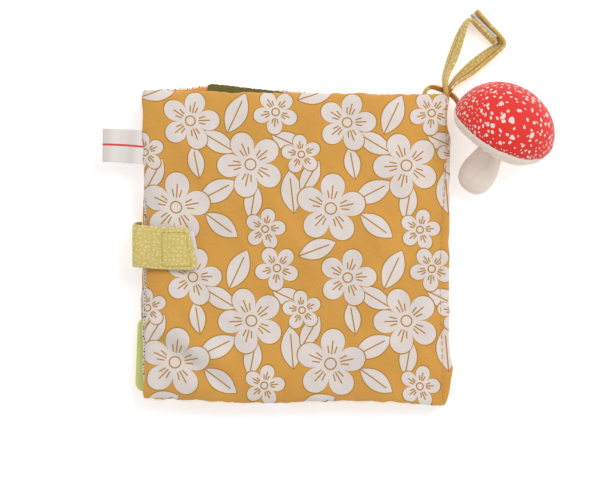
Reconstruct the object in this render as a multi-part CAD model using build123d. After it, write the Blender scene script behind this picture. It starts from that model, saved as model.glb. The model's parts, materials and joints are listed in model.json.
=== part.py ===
from build123d import *
import os
from math import asin, cos, degrees, pi, radians, sin

# A baby's cloth book, closed, lying on its front cover: spine at +X, top edge at +Y.
# Sizes are in millimetres. The origin is in the middle of the front cover's flat underside.

# Covers: padded cloth panels
cover_width = 180.3         # fore-edge to spine edge
cover_height = 183.0
cover_corner_r = 3.5
front_thickness = 5.0
back_thickness = 5.0
front_overhang = 2.6        # the front cover stands out past the back cover
rim_height = 1.8            # upright rim of the back cover, under its rolled edge
rim_roll = 15.0             # width of that rolled edge
sole_roll = 4.0             # width of the rolled edge under the front cover
sole_lift = 2.0             # height of that rolled edge

# Pages: padded leaves joined at the spine
leaf_count = 3
leaf_thickness = 3.2
leaf_gap = 1.8
leaf_edge_r = 1.2
page_overhang = 1.0         # past the back cover at the fore-edge
page_rise = 1.2             # past the back cover at the top
page_foot = 1.0             # inside the back cover at the bottom
layer_gap = 0.3             # clearance between the pages and each cover

# Cloth hinges and the sewn spine
bead_r = 1.4                # rolled hinge edge of each cover
hinge_gap = 0.3
pinch_height = 15.0         # height of the book at its hinges
flap_length = 32.0          # the padding thins to the hinge over this length
shoulder_length = 36.0      # the same on the back cover's outer face
shoulder_r = 40.0
seam_width = 5.4            # sewn strip between the hinges and the spine edge
seam_edge_r = 2.2
seam_overrun = 0.4          # the strip stands out past the covers at both ends
seam_drop = 0.4             # its top lies this far under the back hinge
pucker_depth = 1.3
pucker_pitch = 22.0
pucker_points = 6           # points of the wavy edge to each pucker
stitch_inset = 4.5          # stitch line to spine edge
stitch_length = 3.0
stitch_pitch = 3.7
stitch_width = 0.9
stitch_height = 0.4

# Closing strap with its hook and loop patches
strap_width = 25.5
strap_thickness = 1.6
strap_y = 0.2
strap_fold_out = 6.3        # the fold's outer face to the back cover's fore-edge
strap_root_r = 1.4
strap_fold_r = 3.0
tongue_reach = 29.4         # past the back cover's fore-edge, at mid-width
tongue_slant = 4.2
tongue_corner_r = 4.0
patch_thickness = 1.0
patch_inset = 0.2           # from the end of the rolled edge
patch_corner_r = 1.0
loop_patch_width = 23.0
loop_patch_y = -2.0
loop_patch_beyond = 1.6     # past the tongue's slanted end
hook_patch_length = 12.0
hook_patch_width = 19.5
hook_patch_inset = 0.5      # from the loop tape's edge

# Folded ribbon tag in the back cover's fore-edge
tag_length = 24.2
tag_width = 19.8
tag_thickness = 0.5
tag_opening = 0.3           # between its two layers
tag_fold_share = 0.95       # bend radius of its fold, as a share of half its thickness
tag_from_top = 31.7

# Hang loop: two tapes on edge, lapped and held by hook and loop strips
hang_width = 10.0
hang_thickness = 2.2
hang_left_root = (-3.0, -2.0)       # from the top end of the spine edge
hang_left_knee = (-2.4, 9.0)
hang_apex = (12.4, 44.6)
hang_right_root = (-0.6, -2.0)
hang_right_knee = (0.6, 4.4)
hang_knee_r = 14.0
hang_neck_r = 3.0
hang_bend_r = 2.4
lap_angle = -42.2
lap_length = 21.0
lap_bend_over = 7.0         # the outer lap runs on past the inner lap's end
lap_end_inset = 0.5
hang_patch_thickness = 0.9
hang_patch_length = 17.0
hang_patch_width = 8.0
hang_patch_inset = 3.2

# Stuffed mushroom, lying on its rim and stem
cap_radius = 30.1
cap_height = 24.7
underside_depth = 13.0
mushroom_gap = 2.4          # cap to spine edge
mushroom_from_top = 21.0    # rim's middle below the covers' top edge
mushroom_pitch = 29.0       # the cap's top is lifted from the floor by this angle
cap_heading = 28.0          # the cap points this far to the right of the top
stem_heading = 30.0
mushroom_settle = 3.0       # depth of the flat spot that the cap lies on
stem_settle = 0.7           # depth of the flat spot under the stem's foot
stem_sunk = 4.0             # length of the stem inside the underside's hollow
neck_radius = 6.8
bulb_radius = 10.6
neck_end = 6.0              # distances along the stem from the underside's lowest point
bulb_middle = 23.0
stem_length = 33.5

# Narrow tape that holds the mushroom
tape_diameter = 2.4
tape_start = (-15.0, -0.5, 10.5)    # from the spine edge, the pages' top edge and the floor
tape_rise = (-13.6, 3.0, 12.2)
tape_arch_left = (-10.6, 4.9, 14.4)
tape_arch_right = (-6.6, 4.6, 15.3)
tape_over_neck = (-2.2, 2.4, 15.8)
tape_down = (1.6, -1.4, 18.2)
tape_near_cap = (4.2, -5.6, 21.6)
tape_end = (-24.4, 14.0, 2.6)       # from the middle of the mushroom's rim
tape_bend_share = 0.45

# Felt and cloth pieces that stand out between the leaves
felt_width = 46.0
felt_length = 44.0
felt_thickness = 1.5
felt_corner_r = 3.0
felt_x = -32.1
felt_below_top = 19.3
felt_turn = -6.5
tab_width = 30.0
tab_length = 42.0
tab_thickness = 1.2
tab_corner_r = 6.0
tab_stand_out = 4.2         # past the back cover's fore-edge
tab_from_bottom = 29.0      # its middle above the covers' bottom edge
tab_turn = -2.0

# Places worked out from the sizes above
spine_x = cover_width / 2
fore_x = -cover_width / 2
front_fore_x = fore_x - front_overhang
page_fore_x = fore_x - page_overhang
top_y = cover_height / 2
page_top_y = top_y + page_rise
page_bottom_y = -top_y + page_foot
seam_x = spine_x - seam_width
hinge_x = seam_x - hinge_gap - bead_r
flap_x = hinge_x - flap_length
front_hinge_z = bead_r
back_hinge_z = pinch_height - bead_r
page_low = front_thickness + layer_gap
page_high = page_low + leaf_count * leaf_thickness + (leaf_count - 1) * leaf_gap
back_low = page_high + layer_gap
back_high = back_low + back_thickness
seam_low = front_hinge_z + bead_r + hinge_gap + stitch_height
seam_high = back_hinge_z - seam_drop
seam_top_y = top_y + seam_overrun
tongue_z = back_high + 2 * patch_thickness
far = 4 * (cover_width + cover_height)      # longer than the book, for cutting tools


def across(face, low_y, high_y):
    """Extrude an XZ section along Y between two places."""
    return Pos(0, high_y, 0) * extrude(Plane.XZ * face, amount=high_y - low_y)


def along(face):
    """Extrude a YZ section along X, past both ends of the book."""
    return extrude(Plane.YZ * face, amount=far, both=True)


def upright(face, low_z, high_z):
    """Extrude an XY outline along Z between two heights."""
    return Pos(0, 0, low_z) * extrude(face, amount=high_z - low_z)


def polygon(*points):
    return make_face(Polyline(*points, close=True))


def tape_face(points, radii, thickness):
    """The edge-on outline of a tape that follows a route with rounded bends."""
    route = FilletPolyline(*points, radius=radii)
    return make_face(offset(route, amount=thickness / 2).edges())


def panel_outline(left_x):
    """A cover's plan: rounded at the fore-edge, straight at the hinge."""
    right_x = hinge_x + bead_r
    blank = Pos((left_x + right_x) / 2, 0) * Rectangle(right_x - left_x, cover_height)
    return fillet(blank.vertices().group_by(Axis.X)[0], cover_corner_r)


def back_cover():
    """Padded panel: rolled edges on three sides, thinning to a rolled hinge edge at the spine."""
    rim_z = back_low + rim_height
    crown = back_high - rim_z
    shoulder = (hinge_x - shoulder_length, back_high)
    section = make_face([
        Line((hinge_x, back_hinge_z - bead_r), (flap_x, back_low)),
        Line((flap_x, back_low), (fore_x, back_low)),
        Line((fore_x, back_low), (fore_x, rim_z)),
        EllipticalCenterArc((fore_x + rim_roll, rim_z), rim_roll, crown, 90),
        Line((fore_x + rim_roll, back_high), shoulder),
        Line(shoulder, (hinge_x, back_hinge_z + bead_r)),
        Line((hinge_x, back_hinge_z + bead_r), (hinge_x, back_hinge_z - bead_r)),
    ])
    corner = section.vertices().sort_by_distance((*shoulder, 0))[0]
    section = fillet(corner, shoulder_r)
    section += Pos(hinge_x, back_hinge_z) * Circle(bead_r)
    crossways = make_face([
        Line((-top_y, 0), (top_y, 0)),
        Line((top_y, 0), (top_y, rim_z)),
        EllipticalCenterArc((top_y - rim_roll, rim_z), rim_roll, crown, 0),
        Line((top_y - rim_roll, back_high), (rim_roll - top_y, back_high)),
        EllipticalCenterArc((rim_roll - top_y, rim_z), rim_roll, crown, 90),
        Line((-top_y, rim_z), (-top_y, 0)),
    ])
    plan = upright(panel_outline(fore_x), 0, back_high)
    return across(section, -top_y, top_y) & plan & along(crossways)


def front_cover():
    """The same panel underneath, pressed flat on the floor, with small rolled edges."""
    hinge_top = front_hinge_z + bead_r
    section = make_face([
        Line((hinge_x, hinge_top), (flap_x, front_thickness)),
        Line((flap_x, front_thickness), (front_fore_x, front_thickness)),
        Line((front_fore_x, front_thickness), (front_fore_x, sole_lift)),
        EllipticalCenterArc((front_fore_x + sole_roll, sole_lift), sole_roll, sole_lift, 180),
        Line((front_fore_x + sole_roll, 0), (hinge_x, 0)),
        Line((hinge_x, 0), (hinge_x, hinge_top)),
    ])
    section += Pos(hinge_x, front_hinge_z) * Circle(bead_r)
    crossways = make_face([
        Line((-top_y, front_thickness), (top_y, front_thickness)),
        Line((top_y, front_thickness), (top_y, sole_lift)),
        EllipticalCenterArc((top_y - sole_roll, sole_lift), sole_roll, sole_lift, 270),
        Line((top_y - sole_roll, 0), (sole_roll - top_y, 0)),
        EllipticalCenterArc((sole_roll - top_y, sole_lift), sole_roll, sole_lift, 180),
        Line((-top_y, sole_lift), (-top_y, front_thickness)),
    ])
    plan = upright(panel_outline(front_fore_x), 0, front_thickness)
    return across(section, -top_y, top_y) & plan & along(crossways)


def pages():
    """Three leaves with soft fore-edges, pressed together where they are sewn."""
    end_low = front_hinge_z + bead_r + layer_gap
    end_high = back_hinge_z - bead_r - layer_gap
    section = polygon(
        (page_fore_x, page_low), (flap_x, page_low), (hinge_x, end_low), (seam_x, end_low),
        (seam_x, end_high), (hinge_x, end_high), (flap_x, page_high), (page_fore_x, page_high),
    )
    for i in range(leaf_count - 1):
        slit_z = page_low + (i + 1) * leaf_thickness + (i + 0.5) * leaf_gap
        section -= Pos((page_fore_x + flap_x) / 2, slit_z) * Rectangle(flap_x - page_fore_x, leaf_gap)
    section = fillet(section.vertices().group_by(Axis.X)[0], leaf_edge_r)
    return across(section, page_bottom_y, page_top_y)


def spine():
    """All the layers sewn together, with a puckered outer edge."""
    steps = pucker_points * round(2 * seam_top_y / pucker_pitch)
    rows = [-seam_top_y + 2 * seam_top_y * i / steps for i in range(steps + 1)]
    edge = [(spine_x - pucker_depth * sin(pi * y / pucker_pitch) ** 2, y) for y in rows]
    plan = make_face([
        Spline(*edge),
        Line(edge[-1], (seam_x, seam_top_y)),
        Line((seam_x, seam_top_y), (seam_x, -seam_top_y)),
        Line((seam_x, -seam_top_y), edge[0]),
    ])
    strip = upright(plan, seam_low, seam_high)
    wavy = strip.faces().sort_by(Axis.X)[-1]
    rims = [wavy.edges().sort_by(Axis.Z)[0], wavy.edges().sort_by(Axis.Z)[-1]]
    return fillet(rims, seam_edge_r)


def spine_stitches():
    """Machine stitches along the seam, on both of its faces."""
    thread = polygon(
        (-stitch_width / 2, 0), (stitch_width / 2, 0),
        (stitch_width / 4, stitch_height), (-stitch_width / 4, stitch_height),
    )
    count = int(cover_height / stitch_pitch)
    stitches = []
    for i in range(count):
        y = (i - (count - 1) / 2) * stitch_pitch
        bar = across(thread, y - stitch_length / 2, y + stitch_length / 2)
        stitches.append(Pos(spine_x - stitch_inset, 0, seam_high) * bar)
        stitches.append(Pos(spine_x - stitch_inset, 0, seam_low) * mirror(bar, Plane.XY))
    return Compound(children=stitches)


def tongue_end_x(y):
    """Where the tongue's slanted end lies at a place across the strap."""
    return fore_x + tongue_reach - tongue_slant * (y - strap_y) / strap_width


def closing_strap(front):
    """Cloth strap from the front cover's fore-edge, round the pages and over the back cover."""
    root_z = (sole_lift + front_thickness) / 2
    fold_x = fore_x - strap_fold_out + strap_thickness / 2
    lay_z = tongue_z + strap_thickness / 2
    route = [
        (front_fore_x + front_overhang, root_z), (fold_x, root_z),
        (fold_x, lay_z), (fore_x + tongue_reach + tongue_slant, lay_z),
    ]
    strip = tape_face(route, [strap_root_r, strap_fold_r], strap_thickness)
    low_y = strap_y - strap_width / 2
    high_y = strap_y + strap_width / 2
    left_x = fold_x - strap_thickness
    plan = polygon(
        (left_x, low_y), (tongue_end_x(low_y), low_y), (tongue_end_x(high_y), high_y), (left_x, high_y),
    )
    plan = fillet(plan.vertices().sort_by(Axis.X)[-2:], tongue_corner_r)
    return across(strip, low_y, high_y) & upright(plan, 0, lay_z + strap_thickness) - front


def strap_loop_patch():
    """Loop tape on the flat of the back cover, cut along the tongue's slant."""
    left_x = fore_x + rim_roll + patch_inset
    low_y = strap_y + loop_patch_y - loop_patch_width / 2
    high_y = low_y + loop_patch_width
    plan = polygon(
        (left_x, low_y), (tongue_end_x(low_y) + loop_patch_beyond, low_y),
        (tongue_end_x(high_y) + loop_patch_beyond, high_y), (left_x, high_y),
    )
    return upright(fillet(plan.vertices(), patch_corner_r), back_high, back_high + patch_thickness)


def strap_hook_patch():
    """Hook tape under the tongue, pressed on the loop tape."""
    x = fore_x + rim_roll + patch_inset + hook_patch_inset + hook_patch_length / 2
    plan = Pos(x, strap_y) * RectangleRounded(hook_patch_length, hook_patch_width, patch_corner_r)
    return upright(plan, back_high + patch_thickness, tongue_z)


def ribbon_tag(back):
    """Ribbon folded double, its ends sewn into the back cover's rim."""
    middle_z = back_low + rim_height / 2
    half = (tag_opening + tag_thickness) / 2
    fold_x = fore_x - tag_length + tag_thickness / 2
    route = [
        (fore_x + tag_thickness, middle_z - half), (fold_x, middle_z - half),
        (fold_x, middle_z + half), (fore_x + tag_thickness, middle_z + half),
    ]
    fold_r = tag_fold_share * half
    strip = tape_face(route, [fold_r, fold_r], tag_thickness)
    middle_y = top_y - tag_from_top
    return across(strip, middle_y - tag_width / 2, middle_y + tag_width / 2) - back


def from_spine_top(offset_xy):
    """A place given from the top end of the spine edge."""
    return Vector(spine_x + offset_xy[0], seam_top_y + offset_xy[1])


lap_along = Vector(cos(radians(lap_angle)), sin(radians(lap_angle)))
lap_out = Vector(-lap_along.Y, lap_along.X)
lap_spacing = hang_thickness + 2 * hang_patch_thickness


def hang_strap_left():
    """Left arm of the hang loop and the inner lap."""
    apex = from_spine_top(hang_apex)
    route = [from_spine_top(hang_left_root), from_spine_top(hang_left_knee), apex,
             apex + lap_along * lap_length]
    tape = upright(tape_face(route, [hang_knee_r, hang_bend_r], hang_thickness), 0, hang_width)
    return split(tape, Plane.XZ.offset(-seam_top_y), keep=Keep.BOTTOM)


def hang_strap_right():
    """Right arm of the hang loop and the outer lap."""
    lap_start = from_spine_top(hang_apex) + lap_out * lap_spacing
    route = [from_spine_top(hang_right_root), from_spine_top(hang_right_knee),
             lap_start + lap_along * (lap_length + lap_bend_over), lap_start + lap_along * lap_end_inset]
    tape = upright(tape_face(route, [hang_neck_r, hang_bend_r], hang_thickness), 0, hang_width)
    return split(tape, Plane.XZ.offset(-seam_top_y), keep=Keep.BOTTOM)


def hang_patch(layer):
    """One strip between the laps: layer 0 on the inner lap, layer 1 on the outer."""
    out = hang_thickness / 2 + (layer + 0.5) * hang_patch_thickness
    middle = from_spine_top(hang_apex) + lap_out * out
    middle += lap_along * (hang_patch_inset + hang_patch_length / 2)
    strip = Box(hang_patch_length, hang_patch_thickness, hang_patch_width)
    return Pos(middle.X, middle.Y, hang_width / 2) * Rot(0, 0, lap_angle) * strip


def heading(turn, pitch):
    """A direction turned to the right of +Y and lifted from the floor."""
    flat = cos(radians(pitch))
    return Vector(sin(radians(turn)) * flat, cos(radians(turn)) * flat, sin(radians(pitch)))


rim_middle = Vector(
    spine_x + mushroom_gap + cap_radius,
    top_y - mushroom_from_top,
    cap_radius * cos(radians(mushroom_pitch)) - mushroom_settle,
)
cap_axis = heading(cap_heading, mushroom_pitch)
stem_top = rim_middle - cap_axis * underside_depth
stem_pitch = degrees(asin((stem_top.Z - bulb_radius + stem_settle) / bulb_middle))
stem_axis = heading(stem_heading, stem_pitch)


def on_floor(solid):
    """Cut away what would be under the floor, which leaves a flat spot."""
    return split(solid, Plane.XY, keep=Keep.TOP)


def mushroom_cap():
    """Stuffed dome above the rim."""
    half_way = cos(radians(45))
    dome = Spline(
        (cap_radius, 0), (cap_radius * half_way, cap_height * half_way), (0, cap_height),
        tangents=[(0, 1), (-1, 0)],
    )
    profile = make_face([dome, Line((0, cap_height), (0, 0)), Line((0, 0), (cap_radius, 0))])
    return on_floor(Plane(rim_middle, z_dir=cap_axis) * revolve(Plane.XZ * profile, Axis.Z))


def mushroom_underside():
    """Shallow bowl under the rim."""
    half_way = cos(radians(45))
    bowl = Spline(
        (cap_radius, 0), (cap_radius * half_way, -underside_depth * half_way), (0, -underside_depth),
        tangents=[(0, -1), (-1, 0)],
    )
    profile = make_face([bowl, Line((0, -underside_depth), (0, 0)), Line((0, 0), (cap_radius, 0))])
    return on_floor(Plane(rim_middle, z_dir=cap_axis) * revolve(Plane.XZ * profile, Axis.Z))


def mushroom_stem(underside):
    """Stuffed stem with a narrow neck and a round foot."""
    outline = Spline(
        (neck_radius, stem_sunk), (neck_radius, -neck_end), (bulb_radius, -bulb_middle), (0, -stem_length),
        tangents=[(0, -1), (-1, 0)],
    )
    profile = make_face([
        outline,
        Line((0, -stem_length), (0, stem_sunk)),
        Line((0, stem_sunk), (neck_radius, stem_sunk)),
    ])
    stem = Plane(stem_top, z_dir=stem_axis) * revolve(Plane.XZ * profile, Axis.Z)
    below = (stem - underside).solids().sort_by_distance(stem_top - stem_axis * stem_length)[0]
    return on_floor(below)


def mushroom_tape(book, cap):
    """Narrow tape from the pages' top edge, over the loop's neck, to the cap."""
    points = [
        Vector(spine_x + x, page_top_y + y, z)
        for x, y, z in (tape_start, tape_rise, tape_arch_left, tape_arch_right, tape_over_neck,
                        tape_down, tape_near_cap)
    ]
    points.append(rim_middle + Vector(*tape_end))
    radii = []
    for before, at, after in zip(points, points[1:], points[2:]):
        turn = (at - before).get_angle(after - at)
        shorter = min((at - before).length, (after - at).length)
        radii.append(tape_bend_share * shorter / tan_half(turn))
    print("tape bend radii:", [round(r, 1) for r in radii])
    route = FilletPolyline(*points, radius=radii)
    ring = Plane(origin=route @ 0, z_dir=route % 0) * Circle(tape_diameter / 2)
    tube = sweep(ring, route)
    print("tape volume over section times length:",
          round(tube.volume / (pi * tape_diameter ** 2 / 4 * route.length), 3))
    free = (tube - book - cap).solids()
    return max(free, key=lambda s: s.volume)


def tan_half(angle):
    return sin(radians(angle / 2)) / cos(radians(angle / 2))


def felt_leaf():
    """Felt piece between the upper two leaves, one corner out at the top edge."""
    z = page_high - leaf_thickness - leaf_gap
    place = Pos(felt_x, top_y - felt_below_top) * Rot(0, 0, felt_turn)
    return upright(place * RectangleRounded(felt_width, felt_length, felt_corner_r), z, z + felt_thickness)


def green_tab():
    """Rounded tab between the lower two leaves, standing out at the fore-edge."""
    z = page_low + leaf_thickness
    place = Pos(fore_x - tab_stand_out + tab_width / 2, -top_y + tab_from_bottom) * Rot(0, 0, tab_turn)
    return upright(place * RectangleRounded(tab_width, tab_length, tab_corner_r), z, z + tab_thickness)


def build():
    nodes = {
        "front_cover": front_cover(),
        "back_cover": back_cover(),
        "pages": pages(),
        "spine": spine(),
        "spine_stitches": spine_stitches(),
        "strap_loop_patch": strap_loop_patch(),
        "strap_hook_patch": strap_hook_patch(),
        "hang_strap_left": hang_strap_left(),
        "hang_strap_right": hang_strap_right(),
        "hang_hook_patch": hang_patch(0),
        "hang_loop_patch": hang_patch(1),
        "mushroom_cap": mushroom_cap(),
        "mushroom_underside": mushroom_underside(),
        "felt_leaf": felt_leaf(),
        "green_tab": green_tab(),
    }
    nodes["closing_strap"] = closing_strap(nodes["front_cover"])
    nodes["ribbon_tag"] = ribbon_tag(nodes["back_cover"])
    nodes["mushroom_stem"] = mushroom_stem(nodes["mushroom_underside"])
    nodes["mushroom_tape"] = mushroom_tape(nodes["pages"], nodes["mushroom_cap"])
    return nodes


os.makedirs("parts", exist_ok=True)
for name, solid in build().items():
    export_step(solid, f"parts/{name}.step")
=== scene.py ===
import json
import math

import bpy
import numpy as np
from bpy.props import FloatProperty, FloatVectorProperty, IntProperty, PointerProperty
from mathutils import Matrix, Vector


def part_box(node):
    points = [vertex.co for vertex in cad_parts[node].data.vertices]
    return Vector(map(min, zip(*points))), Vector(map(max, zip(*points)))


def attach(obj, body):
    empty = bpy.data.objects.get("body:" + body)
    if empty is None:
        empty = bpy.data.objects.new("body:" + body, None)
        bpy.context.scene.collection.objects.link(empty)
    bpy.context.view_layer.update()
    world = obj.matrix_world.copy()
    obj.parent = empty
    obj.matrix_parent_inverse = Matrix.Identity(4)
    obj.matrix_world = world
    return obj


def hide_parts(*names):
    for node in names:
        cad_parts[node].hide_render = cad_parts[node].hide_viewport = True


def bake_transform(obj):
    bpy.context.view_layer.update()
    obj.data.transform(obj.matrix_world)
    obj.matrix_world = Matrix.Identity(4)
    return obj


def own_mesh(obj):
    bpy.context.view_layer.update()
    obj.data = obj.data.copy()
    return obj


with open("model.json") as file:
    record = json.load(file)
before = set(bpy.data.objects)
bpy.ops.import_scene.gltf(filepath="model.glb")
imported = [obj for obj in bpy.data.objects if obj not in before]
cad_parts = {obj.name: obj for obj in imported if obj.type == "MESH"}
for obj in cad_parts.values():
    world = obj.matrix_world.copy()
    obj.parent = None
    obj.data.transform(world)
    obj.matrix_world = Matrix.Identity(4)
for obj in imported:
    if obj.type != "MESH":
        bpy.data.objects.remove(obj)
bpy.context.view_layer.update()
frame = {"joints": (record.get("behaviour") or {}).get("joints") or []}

bl_info = {
    "name": "Soft book",
    "version": (1, 0, 0),
    "blender": (4, 5, 0),
    "location": "View3D > Sidebar > Soft book",
    "description": "Makes the cloth, trims and stuffed mushroom of a padded baby's book around its frame",
    "category": "Object",
}

MM = 0.001
# Places taken from the frame, in metres: spine at +X, top edge at +Y, back cover uppermost
HINGES = {joint["name"]: Vector(joint["pos_m"]) for joint in frame["joints"]}
BACK_HINGE = HINGES["back_cover_hinge"]
FRONT_HINGE = HINGES["front_cover_hinge"]
BACK_LOW, BACK_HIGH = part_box("back_cover")
FRONT_LOW, FRONT_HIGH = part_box("front_cover")
PAGES_LOW, PAGES_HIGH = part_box("pages")
SPINE_LOW, SPINE_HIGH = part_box("spine")
STITCH_LOW, STITCH_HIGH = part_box("spine_stitches")
STRAP_LOW, STRAP_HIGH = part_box("closing_strap")
TAG_LOW, TAG_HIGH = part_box("ribbon_tag")
FELT_LOW, FELT_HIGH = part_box("felt_leaf")
TAB_LOW, TAB_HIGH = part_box("green_tab")
STITCH_X = (STITCH_LOW.x + STITCH_HIGH.x) / 2


def from_screen(red, green, blue):
    """A screen colour of 0 to 255 as a linear colour."""
    shares = [value / 255 for value in (red, green, blue)]
    return tuple(v / 12.92 if v < 0.04045 else ((v + 0.055) / 1.055) ** 2.4 for v in shares)


def length(name, description, default):
    return FloatProperty(name=name, description=description, default=default, min=0.0,
                         subtype="DISTANCE", unit="LENGTH", precision=5)


def angle(name, description, degrees):
    return FloatProperty(name=name, description=description, default=math.radians(degrees),
                         subtype="ANGLE", unit="ROTATION")


def colour(name, description, red, green, blue):
    return FloatVectorProperty(name=name, description=description, size=3, min=0.0, max=1.0,
                               default=from_screen(red, green, blue), subtype="COLOR")


class BookColours(bpy.types.PropertyGroup):
    """Colours of the cloths and trims"""
    ground: colour("Print ground", "Mustard ground of the printed cloth", 219, 161, 74)
    petals: colour("Petals", "Pale flowers and leaves of the print", 231, 221, 215)
    outlines: colour("Outlines", "Fine drawn lines of the print", 186, 134, 45)
    lining: colour("Lining", "Orange cloth on the inside of the covers", 230, 154, 78)
    page: colour("Page", "Page cloth", 238, 232, 222)
    dashes: colour("Page dashes", "Dark dashes on the page cloth", 52, 50, 56)
    strap: colour("Strap", "Chartreuse strap cloth", 218, 198, 112)
    hang_tape: colour("Hang tape", "Golden tape of the hang loop", 212, 182, 94)
    dots: colour("Dots", "Cream dots on strap and tape", 234, 217, 172)
    ribbon: colour("Ribbon", "White satin of the tag", 234, 226, 220)
    stripe: colour("Stripe", "Red stripe woven into the tag", 226, 50, 50)
    hook_tape: colour("Hook tape", "Hook and loop tapes", 238, 230, 238)
    cap: colour("Cap", "Red cloth of the mushroom's cap", 230, 50, 44)
    spots: colour("Spots", "Pale spots on the cap", 232, 218, 208)
    cream: colour("Cream", "Cream cloth of the stem and underside", 248, 233, 221)
    seam: colour("Seam", "Seam line along the stem", 238, 212, 198)
    # On the mushroom's tape the ochre is partly the inner face's colour and partly painted shade.
    ochre: colour("Ochre", "Inner face of the mushroom's tape and seams of the hang tapes", 168, 106, 40)
    thread: colour("Thread", "Sewing thread of the spine", 228, 172, 92)
    felt: colour("Felt", "Olive felt", 117, 112, 49)
    lime: colour("Lime", "Lime cloth of the tab", 228, 232, 144)
    floor: colour("Floor", "Pale studio floor", 250, 250, 250)


class CoverSizes(bpy.types.PropertyGroup):
    """Sizes of the padded covers, leaves and spine"""
    padding: length("Padding", "Thickness of a padded cover", 0.005)
    roll: length("Rolled edge", "Width over which a cover rounds down to its edge", 0.015)
    rim: length("Rim", "Thickness of the sewn edge", 0.0011)
    corner: length("Corner", "Corner radius of covers and leaves", 0.0035)
    pucker: length("Pucker", "Depth of the gathers along sewn edges", 0.00055)
    leaves: IntProperty(name="Leaves", description="Number of leaves", default=3, min=1)
    repeat: length("Print repeat", "Size of the print's repeat", 0.092)


class TrimSizes(bpy.types.PropertyGroup):
    """Sizes of the strap, tag, hang loop, tape and threads"""
    strap_width: length("Strap width", "Width of the closing strap", 0.0252)
    strap_thickness: length("Strap thickness", "Thickness of the closing strap", 0.0016)
    tag_thickness: length("Ribbon thickness", "Thickness of one layer of the tag", 0.0005)
    hang_width: length("Hang tape width", "Width of the hang loop's tape", 0.0102)
    hang_thickness: length("Hang tape thickness", "Thickness of the hang loop's tape", 0.0024)
    cord_width: length("Tape width", "Width of the mushroom's tape", 0.0034)
    cord_thickness: length("Tape thickness", "Thickness of the mushroom's tape", 0.0011)
    thread: length("Thread", "Thickness of the sewing thread", 0.0006)


class MushroomSizes(bpy.types.PropertyGroup):
    """Sizes and lie of the stuffed mushroom"""
    radius: length("Cap radius", "Radius of the cap at its rim", 0.0308)
    height: length("Cap height", "Rim to crown", 0.0252)
    depth: length("Underside depth", "Depth of the bowl under the rim", 0.0133)
    gap: length("Gap", "Cap to spine edge", 0.0017)
    from_top: length("From top", "Middle of the rim below the covers' top edge", 0.0210)
    settle: length("Settle", "Depth of the flat spot that it lies on", 0.0036)
    pitch: angle("Pitch", "Lift of the cap's crown from the floor", 29)
    heading: angle("Heading", "Turn of the cap to the right of the top edge", 28)
    stem_pitch: angle("Stem pitch", "Lift of the stem's neck from the floor", 18)
    stem_heading: angle("Stem heading", "Turn of the stem to the right of the top edge", 30)
    pucker: length("Pucker", "Depth of the gathers along the rim", 0.0005)


class StageSizes(bpy.types.PropertyGroup):
    """Camera and light"""
    pixel: length("Pixel", "Width of one pixel of a 600 by 501 image on the back cover", 0.00059)
    camera_height: length("Camera height", "Camera above the back cover", 2.4)
    key: FloatProperty(name="Key light", description="Power of the large soft light, in watts", default=14.5)
    fill: FloatProperty(name="Fill light", description="Strength of the even white surround", default=0.56)


# Mesh helpers
def deselect():
    if bpy.context.object and bpy.context.object.mode != "OBJECT":
        bpy.ops.object.mode_set(mode="OBJECT")
    bpy.ops.object.select_all(action="DESELECT")


def pick(*pieces):
    """Select these pieces alone; the last one is active."""
    deselect()
    for piece in pieces:
        piece.select_set(True)
    bpy.context.view_layer.objects.active = pieces[-1]


def points_of(piece):
    points = np.empty(len(piece.data.vertices) * 3)
    piece.data.vertices.foreach_get("co", points)
    return points.reshape(-1, 3)


def set_points(piece, *axes):
    """Move a piece's points to these X, Y and Z values."""
    points = np.column_stack(axes) if len(axes) > 1 else axes[0]
    piece.data.vertices.foreach_set("co", np.ascontiguousarray(points, np.float32).ravel())
    piece.data.update()


def face_outwards(piece):
    """Turn all of a piece's faces outwards."""
    pick(piece)
    bpy.ops.object.mode_set(mode="EDIT")
    bpy.ops.mesh.select_all(action="SELECT")
    bpy.ops.mesh.normals_make_consistent(inside=False)
    bpy.ops.object.mode_set(mode="OBJECT")
    return piece


def new_slab(name, columns, rows):
    """A closed slab of grid faces: X and Y from -1 to 1, and Z from 0, its underside, to 1."""
    deselect()
    bpy.ops.mesh.primitive_grid_add(x_subdivisions=columns, y_subdivisions=rows, size=2)
    slab = bpy.context.object
    slab.name = slab.data.name = name
    bpy.ops.object.mode_set(mode="EDIT")
    bpy.ops.mesh.select_all(action="SELECT")
    bpy.ops.mesh.extrude_region_move(TRANSFORM_OT_translate={"value": (0, 0, 1)})
    return face_outwards(slab)


def map_cloth(piece, across, along):
    """UV map: each point's place on the flat cloth, in metres."""
    layer = piece.data.uv_layers.active or piece.data.uv_layers.new(name="cloth")
    layer.name = "cloth"
    corners = np.empty(len(piece.data.loops), int)
    piece.data.loops.foreach_get("vertex_index", corners)
    places = np.column_stack((across, along))[corners]
    layer.data.foreach_set("uv", places.astype(np.float32).ravel())


def soften(piece, levels=1):
    """Round a piece by subdivision and shade it smooth."""
    pick(piece)
    if levels:
        rounding = piece.modifiers.new("rounding", "SUBSURF")
        rounding.levels = rounding.render_levels = levels
        bpy.ops.object.modifier_apply(modifier=rounding.name)
    bpy.ops.object.shade_smooth()
    return piece


def dress(piece, body, slot, nodes, *materials):
    """Give a piece its materials and its body, and hide the frame nodes that it stands for."""
    for material in materials:
        piece.data.materials.append(material)
    if nodes:
        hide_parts(*nodes)
    if body:
        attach(piece, body)


def face_rows(piece, test):
    """Give material 1 to the faces that pass a test."""
    for face in piece.data.polygons:
        face.material_index = 1 if test(face) else 0


def smooth_line(points, at, softness):
    """Heights of a line through a few (place, height) points in mm, rounded over a length in mm."""
    places, heights = np.array(points, float).T * MM
    offsets = np.linspace(-1, 1, 9)
    weights = 1 - 0.9 * offsets ** 2
    lines = [w * np.interp(at + o * softness * MM, places, heights) for o, w in zip(offsets, weights)]
    return sum(lines) / weights.sum()


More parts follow.
